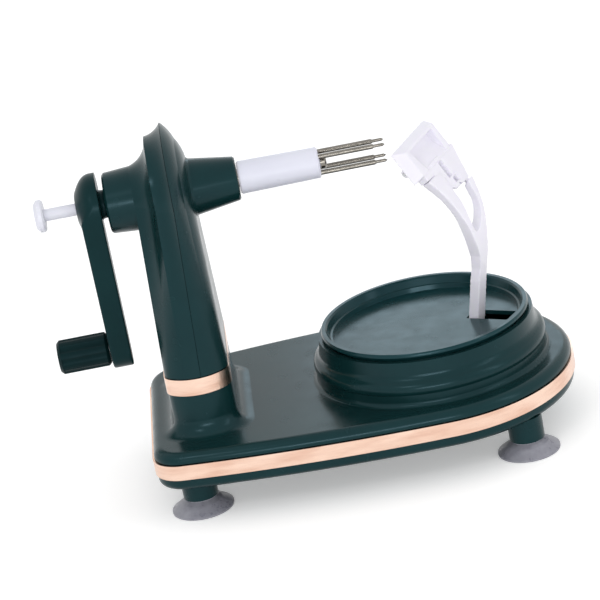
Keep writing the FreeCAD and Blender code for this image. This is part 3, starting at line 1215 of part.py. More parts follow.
def make_arm():
    """Forked arm through the dish's slot, its hinge pin and its coiled spring."""
    half = "arm_thick / 2"
    lean_x, lean_z = half + " * cos(arm_lean * 1 deg)", half + " * sin(arm_lean * 1 deg)"
    side = doc.addObject("PartDesign::Body", "arm_side")
    outline = draw_outline(add_sketch(side, "arm_side_outline", "XZ_Plane", "-40"), [
        (PIVOT_REACH + " - " + lean_x, "-arm_pivot_drop + " + lean_z),
        (PIVOT_REACH + " + " + lean_x, "-arm_pivot_drop - " + lean_z),
    ] + ARM_SIDE)
    pad(side, "arm_side_pad", outline, "60")
    bind_to_dish(side)
    front = doc.addObject("PartDesign::Body", "arm_front")
    low = "-arm_pivot_drop - arm_eye_radius - 1"
    outline = draw_outline(add_sketch(front, "arm_front_outline", "YZ_Plane", "0"), [
        ("slot_offset - arm_width / 2", low), ("slot_offset + arm_width / 2", low),
    ] + ARM_FRONT)
    pad(front, "arm_front_pad", outline, "50")
    bind_to_dish(front)
    fork = combine("Common", "arm_fork", side, front)
    eye = doc.addObject("PartDesign::Body", "arm_eye")
    disc = draw_circles(add_sketch(eye, "arm_eye_outline", "XZ_Plane", "-(slot_offset + arm_width / 2)"),
                        [(PIVOT_REACH, "-arm_pivot_drop", "arm_eye_radius")])
    pad(eye, "arm_eye_pad", disc, "arm_width")
    bind_to_dish(eye)
    whole = fuse("arm_whole", [fork, eye])
    near_cut = box("near_end_cut", ("-30", "-20", "-near_lug_drop - seam"), ("30", "22", "20"), head_frame())
    far_cut = box("far_end_cut", ("-30", "22", "-far_leg_drop - seam"), ("30", "70", "20"), head_frame())
    bore = doc.addObject("PartDesign::Body", "arm_bores")
    holes = draw_circles(add_sketch(bore, "arm_eye_bore", "XZ_Plane", "-40"),
                         [(PIVOT_REACH, "-arm_pivot_drop", "arm_pin_radius + running")])
    pad(bore, "arm_eye_bore_pad", holes, "40")
    hook = draw_circles(add_sketch(bore, "spring_hook_hole", "XZ_Plane", "-(slot_offset + arm_width / 2 + 1)"),
                        [(PIVOT_REACH + " + spring_radius", "-arm_pivot_drop + spring_leg", "spring_wire / 2 + fit")])
    pad(bore, "spring_hook_pad", hook, "3.1")
    bind_to_dish(bore)
    tools = fuse("arm_tools", [near_cut, far_cut, bore])
    cut = combine("Cut", "arm_cut", whole, tools)
    pegs = [tenon_box("near_tenon", NEAR_TENON, "near_lug_drop", "0"),
            tenon_box("far_tenon", "far_leg", "far_leg_drop", "0")]
    name_part(fuse("blade_arm", [cut] + pegs), "blade_arm")

    pin = add_body("arm_pin")
    near = "(slot_offset - slot_width / 2 - ear_gap - ear_thick)"
    far = "(slot_offset + slot_width / 2 + far_ear_gap + ear_thick)"
    shank = draw_circles(add_sketch(pin, "pin_shank", "XZ_Plane", "-(%s + 0.8)" % far),
                         [(PIVOT_REACH, "-arm_pivot_drop", "arm_pin_radius")])
    pad(pin, "pin_shank_pad", shank, "%s - %s + 1.3" % (far, near))
    head = draw_circles(add_sketch(pin, "pin_head", "XZ_Plane", "-(%s - 0.05)" % near),
                        [(PIVOT_REACH, "-arm_pivot_drop", "arm_pin_radius + 1")])
    pad(pin, "pin_head_pad", head, "1")
    bind_to_dish(pin)

    wire, radius = value("spring_wire / 2"), value("spring_radius")
    turns, pitch = value("spring_turns"), value("spring_pitch")
    helix = Part.makeHelix(pitch, turns * pitch, radius)
    ring = Part.Wire([Part.makeCircle(wire, Vector(radius, 0, 0), Vector(0, 1, pitch / (2 * math.pi * radius)))])
    coil = Part.Wire(helix).makePipeShell([ring], True, True)
    leg = value("spring_leg")
    top = turns * pitch
    up = value("arm_pivot_drop - dish_thick / 2")
    inside = 0.35
    pieces = [
        Part.makeCylinder(wire, leg + inside, Vector(radius, inside, 0), Vector(0, -1, 0)),
        Part.makeSphere(wire, Vector(radius, -leg, 0)),
        Part.makeCylinder(wire, 2.4, Vector(radius, -leg, 0), Vector(0, 0, -1)),
        Part.makeCylinder(wire, up + inside, Vector(-radius, inside, top), Vector(0, -1, 0)),
    ]
    for piece in pieces:
        coil = coil.fuse(piece)
    middle = Vector(value(PIVOT_REACH), value(SPRING_START), -value("arm_pivot_drop"))
    add_shape("arm_spring", coil, dish_frame().multiply(Placement(middle, Rotation(Vector(1, 0, 0), -90))))


def make_blade_head():
    """Open tray with its two legs, the ears behind it, the peeling blade and the blade's pins."""
    body = add_body("blade_head")
    floor = draw_outline(add_sketch(body, "tray_floor_outline", "YZ_Plane"),
                         [("0", "0"), ("0", "-tray_width"), ("tray_length", "-tray_width"), ("tray_length", "0")])
    rim = draw_outline(add_sketch(body, "tray_rim_outline", "YZ_Plane", "tray_depth"), [
        ("tray_slope", "-tray_slope"), ("tray_slope", "-tray_width + 1"),
        ("tray_length - tray_slope", "-tray_width + 1"), ("tray_length - tray_slope", "-tray_slope"),
    ])
    tray = body.newObject("PartDesign::AdditiveLoft", "tray")
    tray.Profile = floor
    tray.Sections = [rim]
    tray.Ruled = True
    doc.recompute()
    legs = add_sketch(body, "near_lug_outline", "YZ_Plane")
    pad(body, "near_lug", draw_outline(legs, NEAR_LUG), "prong_depth")
    legs = add_sketch(body, "far_leg_outline", "YZ_Plane")
    pad(body, "far_leg", draw_outline(legs, FAR_LEG), "prong_depth")
    web = add_sketch(body, "head_web_outline", "YZ_Plane")
    pad(body, "head_web", draw_outline(web, HEAD_WEB), "prong_depth")
    recess = draw_outline(add_sketch(body, "recess_outline", "YZ_Plane", "tray_depth"), RECESS)
    pocket(body, "recess", recess, "tray_depth - tray_floor")
    marks = draw_outline(add_sketch(body, "leg_slot_outline", "YZ_Plane", "prong_depth"),
                         [("23.5", "-20.4"), ("25.0", "-28.3"), ("26.3", "-28.1"), ("24.8", "-20.2")])
    pocket(body, "leg_slot", marks, "1.2")
    marks = draw_outline(add_sketch(body, "leg_notch_outline", "YZ_Plane", "prong_depth"),
                         [("27.2", "-31"), ("27.2", "-34.2"), ("30.2", "-34.2"), ("30.2", "-31")])
    pocket(body, "leg_notch", marks, "0.9")
    eye = "(blade_pin_radius + 1.3)"
    for name, level in (("near_blade_ear", BLADE_START), ("far_blade_ear", BLADE_END + " + blade_ear")):
        ear = draw_outline(add_sketch(body, name + "_outline", "XZ_Plane", "-(%s)" % level), [
            ("tray_floor / 2", "-blade_drop - 3.2"), ("tray_floor / 2", "-blade_drop + 3.2"),
            ("-blade_under", "-blade_drop + " + eye, "+" + eye), ("-blade_under - " + eye, "-blade_drop", "+" + eye),
            ("-blade_under", "-blade_drop - " + eye),
        ])
        pad(body, name, ear, "blade_ear")
    holes = draw_circles(add_sketch(body, "blade_pin_seats", "XZ_Plane", "0"),
                         [("-blade_under", "-blade_drop", "blade_pin_radius + fit")])
    pocket(body, "blade_pin_holes", holes, "tray_length")
    head = head_frame()
    body.Placement = head
    sockets = [tenon_box("near_socket", NEAR_TENON, "near_lug_drop", "fit"),
               tenon_box("far_socket", "far_leg", "far_leg_drop", "fit")]
    del parts["blade_head"]
    body.Label = "head_block"
    name_part(combine("Cut", "blade_head_socketed", body, fuse("sockets", sockets)), "blade_head")

    blade = add_body("peeler_blade")
    curve = value("blade_curve")
    turn = math.asin(value("blade_width") / 2 / curve)
    edge_x, edge_z = "blade_curve * cos(%f deg)" % math.degrees(turn), "blade_curve * sin(%f deg)" % math.degrees(turn)
    middle = "(blade_curve - blade_under)"
    thick = "blade_thick / 2"
    strip = draw_outline(add_sketch(blade, "blade_section", "XZ_Plane", "-(%s - blade_swing)" % BLADE_END), [
        (middle + " - (" + edge_x + ") * (1 + blade_thick / 2 / blade_curve)",
         "-blade_drop + (" + edge_z + ") * (1 + blade_thick / 2 / blade_curve)", "+(blade_curve + " + thick + ")"),
        (middle + " - (" + edge_x + ") * (1 + blade_thick / 2 / blade_curve)",
         "-blade_drop - (" + edge_z + ") * (1 + blade_thick / 2 / blade_curve)"),
        (middle + " - (" + edge_x + ") * (1 - blade_thick / 2 / blade_curve)",
         "-blade_drop - (" + edge_z + ") * (1 - blade_thick / 2 / blade_curve)", "-(blade_curve - " + thick + ")"),
        (middle + " - (" + edge_x + ") * (1 - blade_thick / 2 / blade_curve)",
         "-blade_drop + (" + edge_z + ") * (1 - blade_thick / 2 / blade_curve)"),
    ])
    length = "(%s - %s - 2 * blade_swing)" % (BLADE_END, BLADE_START)
    pad(blade, "blade_strip", strip, length)
    slot = draw_outline(add_sketch(blade, "blade_slot_outline", "YZ_Plane", "3"), [
        (BLADE_START + " + 4", "-blade_drop - blade_slot / 2"), (BLADE_END + " - 4", "-blade_drop - blade_slot / 2"),
        (BLADE_END + " - 4", "-blade_drop + blade_slot / 2"), (BLADE_START + " + 4", "-blade_drop + blade_slot / 2"),
    ])
    pocket(blade, "blade_slot_cut", slot, "10")
    for name, level in (("far_cheek", BLADE_END + " - blade_swing"),
                        ("near_cheek", BLADE_START + " + blade_swing + blade_ear")):
        cheek = draw_circles(add_sketch(blade, name + "_outline", "XZ_Plane", "-(%s)" % level),
                             [("-blade_under", "-blade_drop", "blade_pin_radius + 1")])
        pad(blade, name, cheek, "blade_ear")
    holes = draw_circles(add_sketch(blade, "blade_bores", "XZ_Plane", "0"),
                         [("-blade_under", "-blade_drop", "blade_pin_radius + running")])
    pocket(blade, "blade_bore_holes", holes, "tray_length")
    blade.Placement = head
    pins = []
    for start, end in ((BLADE_START + " - blade_ear", BLADE_START + " + blade_swing + blade_ear"),
                       (BLADE_END + " - blade_swing - blade_ear", BLADE_END + " + blade_ear")):
        at = Vector(-value("blade_under"), value(start), -value("blade_drop"))
        pins.append(Part.makeCylinder(value("blade_pin_radius"), value("(%s) - (%s)" % (end, start)), at,
                                      Vector(0, 1, 0)))
    add_shape("blade_pins", Part.makeCompound(pins), head)


# All the sub-parts, the checks and the files

def make_gear_screws():
    """Three countersunk screws that hold the dish gear on the hub, from below."""
    screws = []
    head, shank = value("gear_screw_radius * 2"), value("gear_screw_radius")
    low = value("second_wheel_bottom") + 0.2
    high = value("second_wheel_bottom + wheel_thick - 1.4 + gear_screw_length") - 0.4
    for i in range(3):
        at = Rotation(Vector(0, 0, 1), 120 * i).multVec(Vector(value("(hub_radius + axle_radius) / 2"), 0, 0))
        screw = Part.makeCylinder(head, 1.05).fuse(Part.makeCylinder(shank, high - low))
        screw = screw.cut(Part.makeBox(head * 1.4, 0.6, 0.5, Vector(-head * 0.7, -0.3, 0))).removeSplitter()
        screw.translate(at + Vector(value("dish_ahead"), 0, low))
        screws.append(screw)
    add_shape("gear_screws", Part.makeCompound(screws))


def make_everything():
    """Builds every sub-part from the table up."""
    make_suction_cups()
    make_lower_shell()
    make_trim_band()
    make_upper_shell()
    make_screws("base_screws", SCREWS, "base_bottom + screw_sink - screw_head_height", "screw_length")
    make_column_ring()
    make_column()
    make_gears()
    make_spindle()
    make_crank()
    make_dish()
    make_gear_screws()
    make_arm()
    make_blade_head()
    doc.recompute()


def check_everything():
    """Stops the build if a feature failed or a sub-part is empty or broken."""
    for piece in doc.Objects:
        if "Invalid" in piece.State or "Error" in piece.State:
            raise RuntimeError("%s did not build" % piece.Label)
    for name, piece in parts.items():
        if piece.Shape.isNull() or not piece.Shape.isValid() or not piece.Shape.Solids:
            raise RuntimeError("%s has no sound shape" % name)


make_everything()
check_everything()
# The files' origin is on the table, under the middle of the whole peeler.
to_middle = Vector(value("(grip_end - dish_ahead - end_radius) / 2"), 0, 0)
os.makedirs("parts", exist_ok=True)
for name, piece in parts.items():
    shape = piece.Shape.copy()
    shape.translate(to_middle)
    shape.exportStep("parts/%s.step" % name)
print("%d sub-parts written" % len(parts))
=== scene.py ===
"""Looks of a hand-cranked apple peeler: moulded green shells, rose-gold bands, white fork and blade arm."""

import logging
import math
from dataclasses import dataclass
from enum import Enum
from typing import Callable, Sequence

import bpy
from mathutils import Matrix, Vector


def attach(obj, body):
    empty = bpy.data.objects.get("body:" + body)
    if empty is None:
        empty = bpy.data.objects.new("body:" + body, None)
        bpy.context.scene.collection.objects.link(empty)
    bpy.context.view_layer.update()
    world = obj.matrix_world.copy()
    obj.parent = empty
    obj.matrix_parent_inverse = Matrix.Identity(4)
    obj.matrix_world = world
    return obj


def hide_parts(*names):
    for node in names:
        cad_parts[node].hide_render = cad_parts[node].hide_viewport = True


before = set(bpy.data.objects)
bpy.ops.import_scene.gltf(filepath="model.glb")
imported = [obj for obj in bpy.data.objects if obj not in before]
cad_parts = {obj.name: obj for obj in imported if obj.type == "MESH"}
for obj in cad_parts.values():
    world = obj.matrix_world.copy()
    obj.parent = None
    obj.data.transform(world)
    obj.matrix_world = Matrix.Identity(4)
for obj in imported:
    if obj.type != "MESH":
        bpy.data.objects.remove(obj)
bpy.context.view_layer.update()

MM = 0.001
WHITE = "#ffffff"
# Sockets of a Mix node that mixes colours, which it numbers after those of its other data types.
MIX_SHARE, MIX_FIRST, MIX_SECOND, MIX_RESULT = 0, 6, 7, 2
log = logging.getLogger("apple_peeler")

Span = tuple[float, float]
Point = tuple[float, float, float]
Table = tuple[tuple[float, float], ...]


def linear(code: str) -> tuple[float, float, float, float]:
    """Turns an sRGB hex colour into the linear colour that shaders take.

    Args:
        code: colour such as "#1f3d3c".

    Returns:
        Red, green, blue and an alpha of 1.
    """
    parts = [int(code[i:i + 2], 16) / 255 for i in (1, 3, 5)]
    red, green, blue = [c / 12.92 if c <= 0.04045 else ((c + 0.055) / 1.055) ** 2.4 for c in parts]
    return red, green, blue, 1.0


def between(level: float, table: Table) -> float:
    """Reads a curve that is given by points.

    Args:
        level: where to read it.
        table: rising pairs of level and value.

    Returns:
        The value at the level, kept flat beyond the ends.
    """
    if level <= table[0][0]:
        return table[0][1]
    for (low, start), (high, end) in zip(table, table[1:]):
        if level <= high:
            return start + (end - start) * (level - low) / (high - low)
    return table[-1][1]


def within(value: float, span: Span) -> bool:
    """Tells whether a value lies inside a span.

    Args:
        value: the value.
        span: the span's ends.

    Returns:
        True if it lies between them.
    """
    return span[0] < value < span[1]


def share(distance: float, length: float) -> float:
    """Gives how much of a length a distance covers.

    Args:
        distance: the distance.
        length: the length that counts as all of it.

    Returns:
        The share, at most 1.
    """
    return min(distance / length, 1.0)


def add_node(tree: bpy.types.NodeTree, kind: str, settings: dict | None = None,
             links: dict | None = None) -> bpy.types.Node:
    """Adds one shader node with its settings and incoming links.

    Args:
        tree: node tree of the material or the world.
        kind: the node's type, such as "ShaderNodeMix".
        settings: attributes, or input values by socket name or number.
        links: output sockets by input socket name or number.

    Returns:
        The new node.
    """
    node = tree.nodes.new(kind)
    for key, setting in (settings or {}).items():
        if isinstance(key, str) and hasattr(node, key):
            setattr(node, key, setting)
        else:
            node.inputs[key].default_value = setting
    for key, socket in (links or {}).items():
        tree.links.new(socket, node.inputs[key])
    return node


class Lay(Enum):
    """Direction in which a surface was worked, as the stretch of its lines along X, Y and Z."""

    ALONG_X = (0.04, 1.0, 1.0)
    ALONG_Z = (1.0, 1.0, 0.04)
    ROUND_AND_ROUND = (1.0, 0.05, 0.05)


@dataclass(frozen=True)
class Shading:
    """A material that is being built: its tree, its Principled shader and the Object coordinates."""

    material: bpy.types.Material
    tree: bpy.types.NodeTree
    shader: bpy.types.Node
    place: bpy.types.NodeSocket

    @classmethod
    def start(cls, name: str) -> "Shading":
        """Starts an empty material.

        Args:
            name: the material's name.

        Returns:
            The material with its shader and coordinates.
        """
        material = bpy.data.materials.new(name)
        material.use_nodes = True
        tree = material.node_tree
        tree.nodes.clear()
        shader = add_node(tree, "ShaderNodeBsdfPrincipled")
        add_node(tree, "ShaderNodeOutputMaterial", links={"Surface": shader.outputs[0]})
        place = add_node(tree, "ShaderNodeTexCoord").outputs["Object"]
        return cls(material, tree, shader, place)

    def mix_tones(self, pattern: bpy.types.Node, tones: tuple[str, str], span: Span, most: float) -> None:
        """Colours the surface with a first tone, and with a second one where a pattern is strong.

        Args:
            pattern: the pattern's node.
            tones: both tones.
            span: values of the pattern at which the second tone starts and is strongest.
            most: the second tone's share where it is strongest.
        """
        amount = add_node(self.tree, "ShaderNodeMapRange",
                          {"From Min": span[0], "From Max": span[1], "To Max": most},
                          {"Value": pattern.outputs[0]})
        mixed = add_node(self.tree, "ShaderNodeMix",
                         {"data_type": "RGBA", MIX_FIRST: linear(tones[0]), MIX_SECOND: linear(tones[1])},
                         {MIX_SHARE: amount.outputs[0]})
        self.tree.links.new(mixed.outputs[MIX_RESULT], self.shader.inputs["Base Color"])

    def work_surface(self, pattern: bpy.types.Node, roughness: float, spread: Span, strength: float,
                     depth_mm: float) -> None:
        """Lets one pattern both dull the surface and stand out as relief.

        Args:
            pattern: the pattern's node.
            roughness: the surface's usual roughness.
            spread: what is added to it where the pattern is weak and where it is strong.
            strength: the relief's strength, from 0 to 1.
            depth_mm: the relief's depth.
        """
        rough = add_node(self.tree, "ShaderNodeMapRange",
                         {"From Min": 0.3, "From Max": 0.7,
                          "To Min": roughness + spread[0], "To Max": roughness + spread[1]},
                         {"Value": pattern.outputs[0]})
        self.tree.links.new(rough.outputs[0], self.shader.inputs["Roughness"])
        relief = add_node(self.tree, "ShaderNodeBump", {"Strength": strength, "Distance": depth_mm * MM},
                          {"Height": pattern.outputs[0]})
        self.tree.links.new(relief.outputs[0], self.shader.inputs["Normal"])

    def set_values(self, values: dict[str, float | Sequence[float]]) -> None:
        """Sets what is the same all over the surface.

        Args:
            values: the shader's values by socket name.
        """
        for name, value in values.items():
            self.shader.inputs[name].default_value = value


@dataclass(frozen=True)
class Finish:
    """Looks of one material, which each kind of finish builds in its own way."""

    name: str
    colour: str

    def make(self) -> bpy.types.Material:
        """Builds the material.

        Returns:
            The finished material.
        """
        raise NotImplementedError

    def material(self) -> bpy.types.Material:
        """Gives the material, which is built at its first use.

        Returns:
            The finished material.
        """
        return bpy.data.materials.get(self.name) or self.make()


@dataclass(frozen=True)
class MouldedPlastic(Finish):
    """Injection-moulded ABS: an even colour, a fine spark-eroded grain and slow waves left by cooling."""

    deep_colour: str
    roughness: float = 0.3
    touch_spread: Span = (-0.03, 0.05)
    touch_mm: float = 9.0
    cloud_mm: float = 22.0
    grain_mm: float = 0.35
    grain_relief_mm: float = 0.06
    grain_strength: float = 0.06
    wave_mm: float = 38.0
    wave_relief_mm: float = 0.6
    wave_strength: float = 0.1
    glow: float = 0.0
    gloss: float = 0.5
    gloss_colour: str = WHITE

    def make(self) -> bpy.types.Material:
        """Builds the material.

        Returns:
            The finished material.
        """
        shading = Shading.start(self.name)
        tree, place = shading.tree, {"Vector": shading.place}
        # Pigment that flowed unevenly gives broad, faint clouds of a deeper tone.
        clouds = add_node(tree, "ShaderNodeTexNoise",
                          {"Scale": 1 / (self.cloud_mm * MM), "Detail": 3.0, "Roughness": 0.55}, place)
        shading.mix_tones(clouds, (self.colour, self.deep_colour), span=(0.35, 0.7), most=0.55)
        # Hands polish some places and leave others dull.
        touched = add_node(tree, "ShaderNodeTexNoise",
                           {"Scale": 1 / (self.touch_mm * MM), "Detail": 2.0, "Roughness": 0.5}, place)
        rough = add_node(tree, "ShaderNodeMapRange",
                         {"From Min": 0.3, "From Max": 0.72,
                          "To Min": self.roughness + self.touch_spread[0],
                          "To Max": self.roughness + self.touch_spread[1]},
                         {"Value": touched.outputs[0]})
        tree.links.new(rough.outputs[0], shading.shader.inputs["Roughness"])
        # The grain is drawn at a third of a millimetre, somewhat coarser than the real one, to let it show.
        grain = add_node(tree, "ShaderNodeTexNoise", {"Scale": 1 / (self.grain_mm * MM), "Detail": 2.0},
                         place)
        waves = add_node(tree, "ShaderNodeTexNoise", {"Scale": 1 / (self.wave_mm * MM), "Detail": 1.0},
                         place)
        broad = add_node(tree, "ShaderNodeBump",
                         {"Strength": self.wave_strength, "Distance": self.wave_relief_mm * MM},
                         {"Height": waves.outputs[0]})
        fine = add_node(tree, "ShaderNodeBump",
                        {"Strength": self.grain_strength, "Distance": self.grain_relief_mm * MM},
                        {"Height": grain.outputs[0], "Normal": broad.outputs[0]})
        tree.links.new(fine.outputs[0], shading.shader.inputs["Normal"])
        shading.set_values({"IOR": 1.5, "Specular IOR Level": self.gloss,
                            "Specular Tint": linear(self.gloss_colour)})
        if self.glow:
            # A white wall lets a little light in and out again.
            shading.set_values({"Subsurface Weight": self.glow, "Subsurface Radius": (1.2, 1.1, 1.3),
                                "Subsurface Scale": 1.2 * MM})
        return shading.material


@dataclass(frozen=True)
class StampedFoil(Finish):
    """Rose-gold foil, hot-stamped on ABS: a soft metallic sheen with fine lines along its length."""

    dark_colour: str
    roughness: float = 0.24
    patch_mm: float = 9.0
    line_mm: float = 0.5

    def make(self) -> bpy.types.Material:
        """Builds the material.

        Returns:
            The finished material.
        """
        shading = Shading.start(self.name)
        tree, place = shading.tree, {"Vector": shading.place}
        # The foil takes in patches that the stamping dragged along the band.
        dragged = add_node(tree, "ShaderNodeMapping", {"Scale": (0.4, 0.4, 2.0)}, place)
        patches = add_node(tree, "ShaderNodeTexNoise", {"Scale": 1 / (self.patch_mm * MM), "Detail": 4.0},
                           {"Vector": dragged.outputs[0]})
        shading.mix_tones(patches, (self.colour, self.dark_colour), span=(0.35, 0.65), most=0.8)
        # The foil's lines are drawn at half a millimetre, coarser than the real ones, so that they show.
        stretched = add_node(tree, "ShaderNodeMapping", {"Scale": (0.03, 0.03, 1.0)}, place)
        lines = add_node(tree, "ShaderNodeTexNoise", {"Scale": 1 / (self.line_mm * MM), "Detail": 3.0},
                         {"Vector": stretched.outputs[0]})
        shading.work_surface(lines, self.roughness, spread=(-0.02, 0.03), strength=0.02, depth_mm=0.03)
        shading.set_values({"Metallic": 1.0})
        return shading.material


@dataclass(frozen=True)
class WorkedSteel(Finish):
    """Stainless steel, turned, drawn or ground, with the fine lines of its tool."""

    lay: Lay
    roughness: float = 0.2
    line_mm: float = 0.25
    smear_mm: float = 6.0
    smear_colour: str = "#8c8f94"

    def make(self) -> bpy.types.Material:
        """Builds the material.

        Returns:
            The finished material.
        """
        shading = Shading.start(self.name)
        tree, place = shading.tree, {"Vector": shading.place}
        smears = add_node(tree, "ShaderNodeTexNoise", {"Scale": 1 / (self.smear_mm * MM), "Detail": 3.0},
                          place)
        shading.mix_tones(smears, (self.colour, self.smear_colour), span=(0.35, 0.8), most=0.5)
        # The tool's lines are drawn at a fifth to a quarter of a millimetre, coarser than the real ones, to
        # let them show.
        stretched = add_node(tree, "ShaderNodeMapping", {"Scale": self.lay.value}, place)
        lines = add_node(tree, "ShaderNodeTexNoise", {"Scale": 1 / (self.line_mm * MM), "Detail": 4.0},
                         {"Vector": stretched.outputs[0]})
        shading.work_surface(lines, self.roughness, spread=(-0.06, 0.1), strength=0.15, depth_mm=0.02)
        shading.set_values({"Metallic": 1.0})
        return shading.material


@dataclass(frozen=True)
class SoftCup(Finish):
    """Clear soft PVC of the suction cups: greyish, half see-through, with a slightly greasy gloss."""

    bloom_colour: str
    roughness: float = 0.32
    clearness: float = 0.12
    bloom_mm: float = 5.0

    def make(self) -> bpy.types.Material:
        """Builds the material.

        Returns:
            The finished material.
        """
        shading = Shading.start(self.name)
        # Softener that comes to the surface leaves pale, dull patches.
        bloom = add_node(shading.tree, "ShaderNodeTexNoise",
                         {"Scale": 1 / (self.bloom_mm * MM), "Detail": 4.0, "Roughness": 0.6},
                         {"Vector": shading.place})
        shading.mix_tones(bloom, (self.colour, self.bloom_colour), span=(0.35, 0.75), most=0.5)
        shading.work_surface(bloom, self.roughness, spread=(-0.08, 0.1), strength=0.1, depth_mm=0.1)
        shading.set_values({"Transmission Weight": self.clearness, "IOR": 1.45})
        return shading.material


# Green ABS from a polished mould: glossy, and nearly black where nothing bright is mirrored. The deep
# pigment lies close under the skin and cools what the skin reflects.
COOL_GLOSS = "#bce8fa"
GREEN_SHELL = MouldedPlastic("green_abs_shell", "#0d2b2c", "#0a2324", roughness=0.23, grain_strength=0.015,
                             wave_strength=0.16, gloss=0.28, gloss_colour=COOL_GLOSS)
# The dish is a lighter tone of the same green: painted light that stands in for the light and sheen on its
# floor.
GREEN_DISH_PAINTED_LIGHT = MouldedPlastic("green_abs_dish_painted_light", "#0f3235", "#0c282b", roughness=0.23, grain_strength=0.012,
                            wave_mm=30.0, wave_strength=0.2, gloss=0.34, gloss_colour=COOL_GLOSS)
# The crank and its grip come from duller moulds and are handled most. The grip's darker tone is painted
# shade on its sides.
GREEN_CRANK = MouldedPlastic("green_abs_crank", "#0d2a2b", "#092021", roughness=0.3, grain_strength=0.02,
                             gloss=0.16, gloss_colour=COOL_GLOSS)
GREEN_GRIP_PAINTED_SHADE = MouldedPlastic("green_abs_grip_painted_shade", "#0a2122", "#06181a", roughness=0.38, grain_strength=0.04,
                            gloss=0.1, gloss_colour=COOL_GLOSS)
# Rose-gold foil: pale copper in bright patches, with hardly any grain.
ROSE_BAND = StampedFoil("rose_gold_foil", "#f0d1be", "#dcb29c")
# White ABS with a bluish brightener: cool, even and slightly translucent.
WHITE_ARM = MouldedPlastic("white_abs_arm", "#eceaf3", "#e7e5ef", roughness=0.33, grain_strength=0.03,
                           glow=0.3, gloss=0.3)
# The sleeve's tone is darker than the arm's: painted shade that offsets the strong light on its top.
WHITE_SLEEVE_PAINTED_SHADE = MouldedPlastic("white_abs_sleeve_painted_shade", "#dddeea", "#d6d7e4", roughness=0.3, grain_strength=0.05,
                              glow=0.12, gloss=0.3)
WHITE_KNOB = MouldedPlastic("white_abs_knob", "#e4e5ee", "#d8d9e5", roughness=0.32, grain_strength=0.05,
                            glow=0.12, gloss=0.3)
# Soft PVC: smoky grey with a paler bloom.
CLEAR_CUP = SoftCup("clear_pvc_cup", "#8c8c97", "#b9bac2")
# Turned pins and screws mirror in rings, drawn rods mirror along their length, and the ground
# blade is bright. The drawn rods' dark colour is a painted dark reflection.
TURNED_STEEL = WorkedSteel("turned_stainless", "#c9cacc", Lay.ROUND_AND_ROUND)
DRAWN_STEEL_PAINTED_REFLECTION = WorkedSteel("drawn_stainless_painted_reflection", "#8b8780", Lay.ALONG_X, roughness=0.12, line_mm=0.2,
                          smear_colour="#625f59")
GROUND_STEEL = WorkedSteel("ground_blade_steel", "#d0d1d3", Lay.ALONG_Z, roughness=0.15, line_mm=0.2)
# Natural acetal of the gears and bushes: off-white, waxy and dull.
ACETAL = MouldedPlastic("natural_acetal", "#e6e2d8", "#dad5c8", roughness=0.42, grain_strength=0.08,
                        glow=0.1)


def dress(names: Sequence[str], finish: Finish) -> None:
    """Gives CAD nodes a finish.

    Args:
        names: the nodes.
        finish: what they are made of.
    """
    material = finish.material()
    for name in names:
        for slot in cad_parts[name].material_slots:
            slot.material = material
        log.info("%s in %s", name, finish.name)


def select_only(piece: bpy.types.Object) -> None:
    """Selects one piece and nothing else.

    Args:
        piece: the piece.
    """
    bpy.ops.object.select_all(action="DESELECT")
    piece.select_set(True)
    bpy.context.view_layer.objects.active = piece


def add_prism(name: str, corners: Table, low: float, high: float, place: Matrix) -> bpy.types.Object:
    """Adds a flat form as a filled ring of corners that is extruded.

    Args:
        name: the form's name.
        corners: its outline, counter-clockwise, in millimetres along the frame's Y and Z.
        low: its back face along the frame's X, in millimetres.
        high: its front face.
        place: the frame.

    Returns:
        The new form.
    """
    bpy.ops.object.select_all(action="DESELECT")
    bpy.ops.mesh.primitive_circle_add(vertices=len(corners), fill_type="NGON")
    form = bpy.context.active_object
    form.name = name
    for point, (across, up) in zip(form.data.vertices, corners):
        point.co = place @ (Vector((low, across, up)) * MM)
    form.data.update()
    bpy.ops.object.mode_set(mode="EDIT")
    bpy.ops.mesh.select_all(action="SELECT")
    out = place.to_3x3() @ Vector(((high - low) * MM, 0, 0))
    bpy.ops.mesh.extrude_region_move(TRANSFORM_OT_translate={"value": out})
    bpy.ops.mesh.select_all(action="SELECT")
    bpy.ops.mesh.normals_make_consistent(inside=False)
    bpy.ops.object.mode_set(mode="OBJECT")
    return form


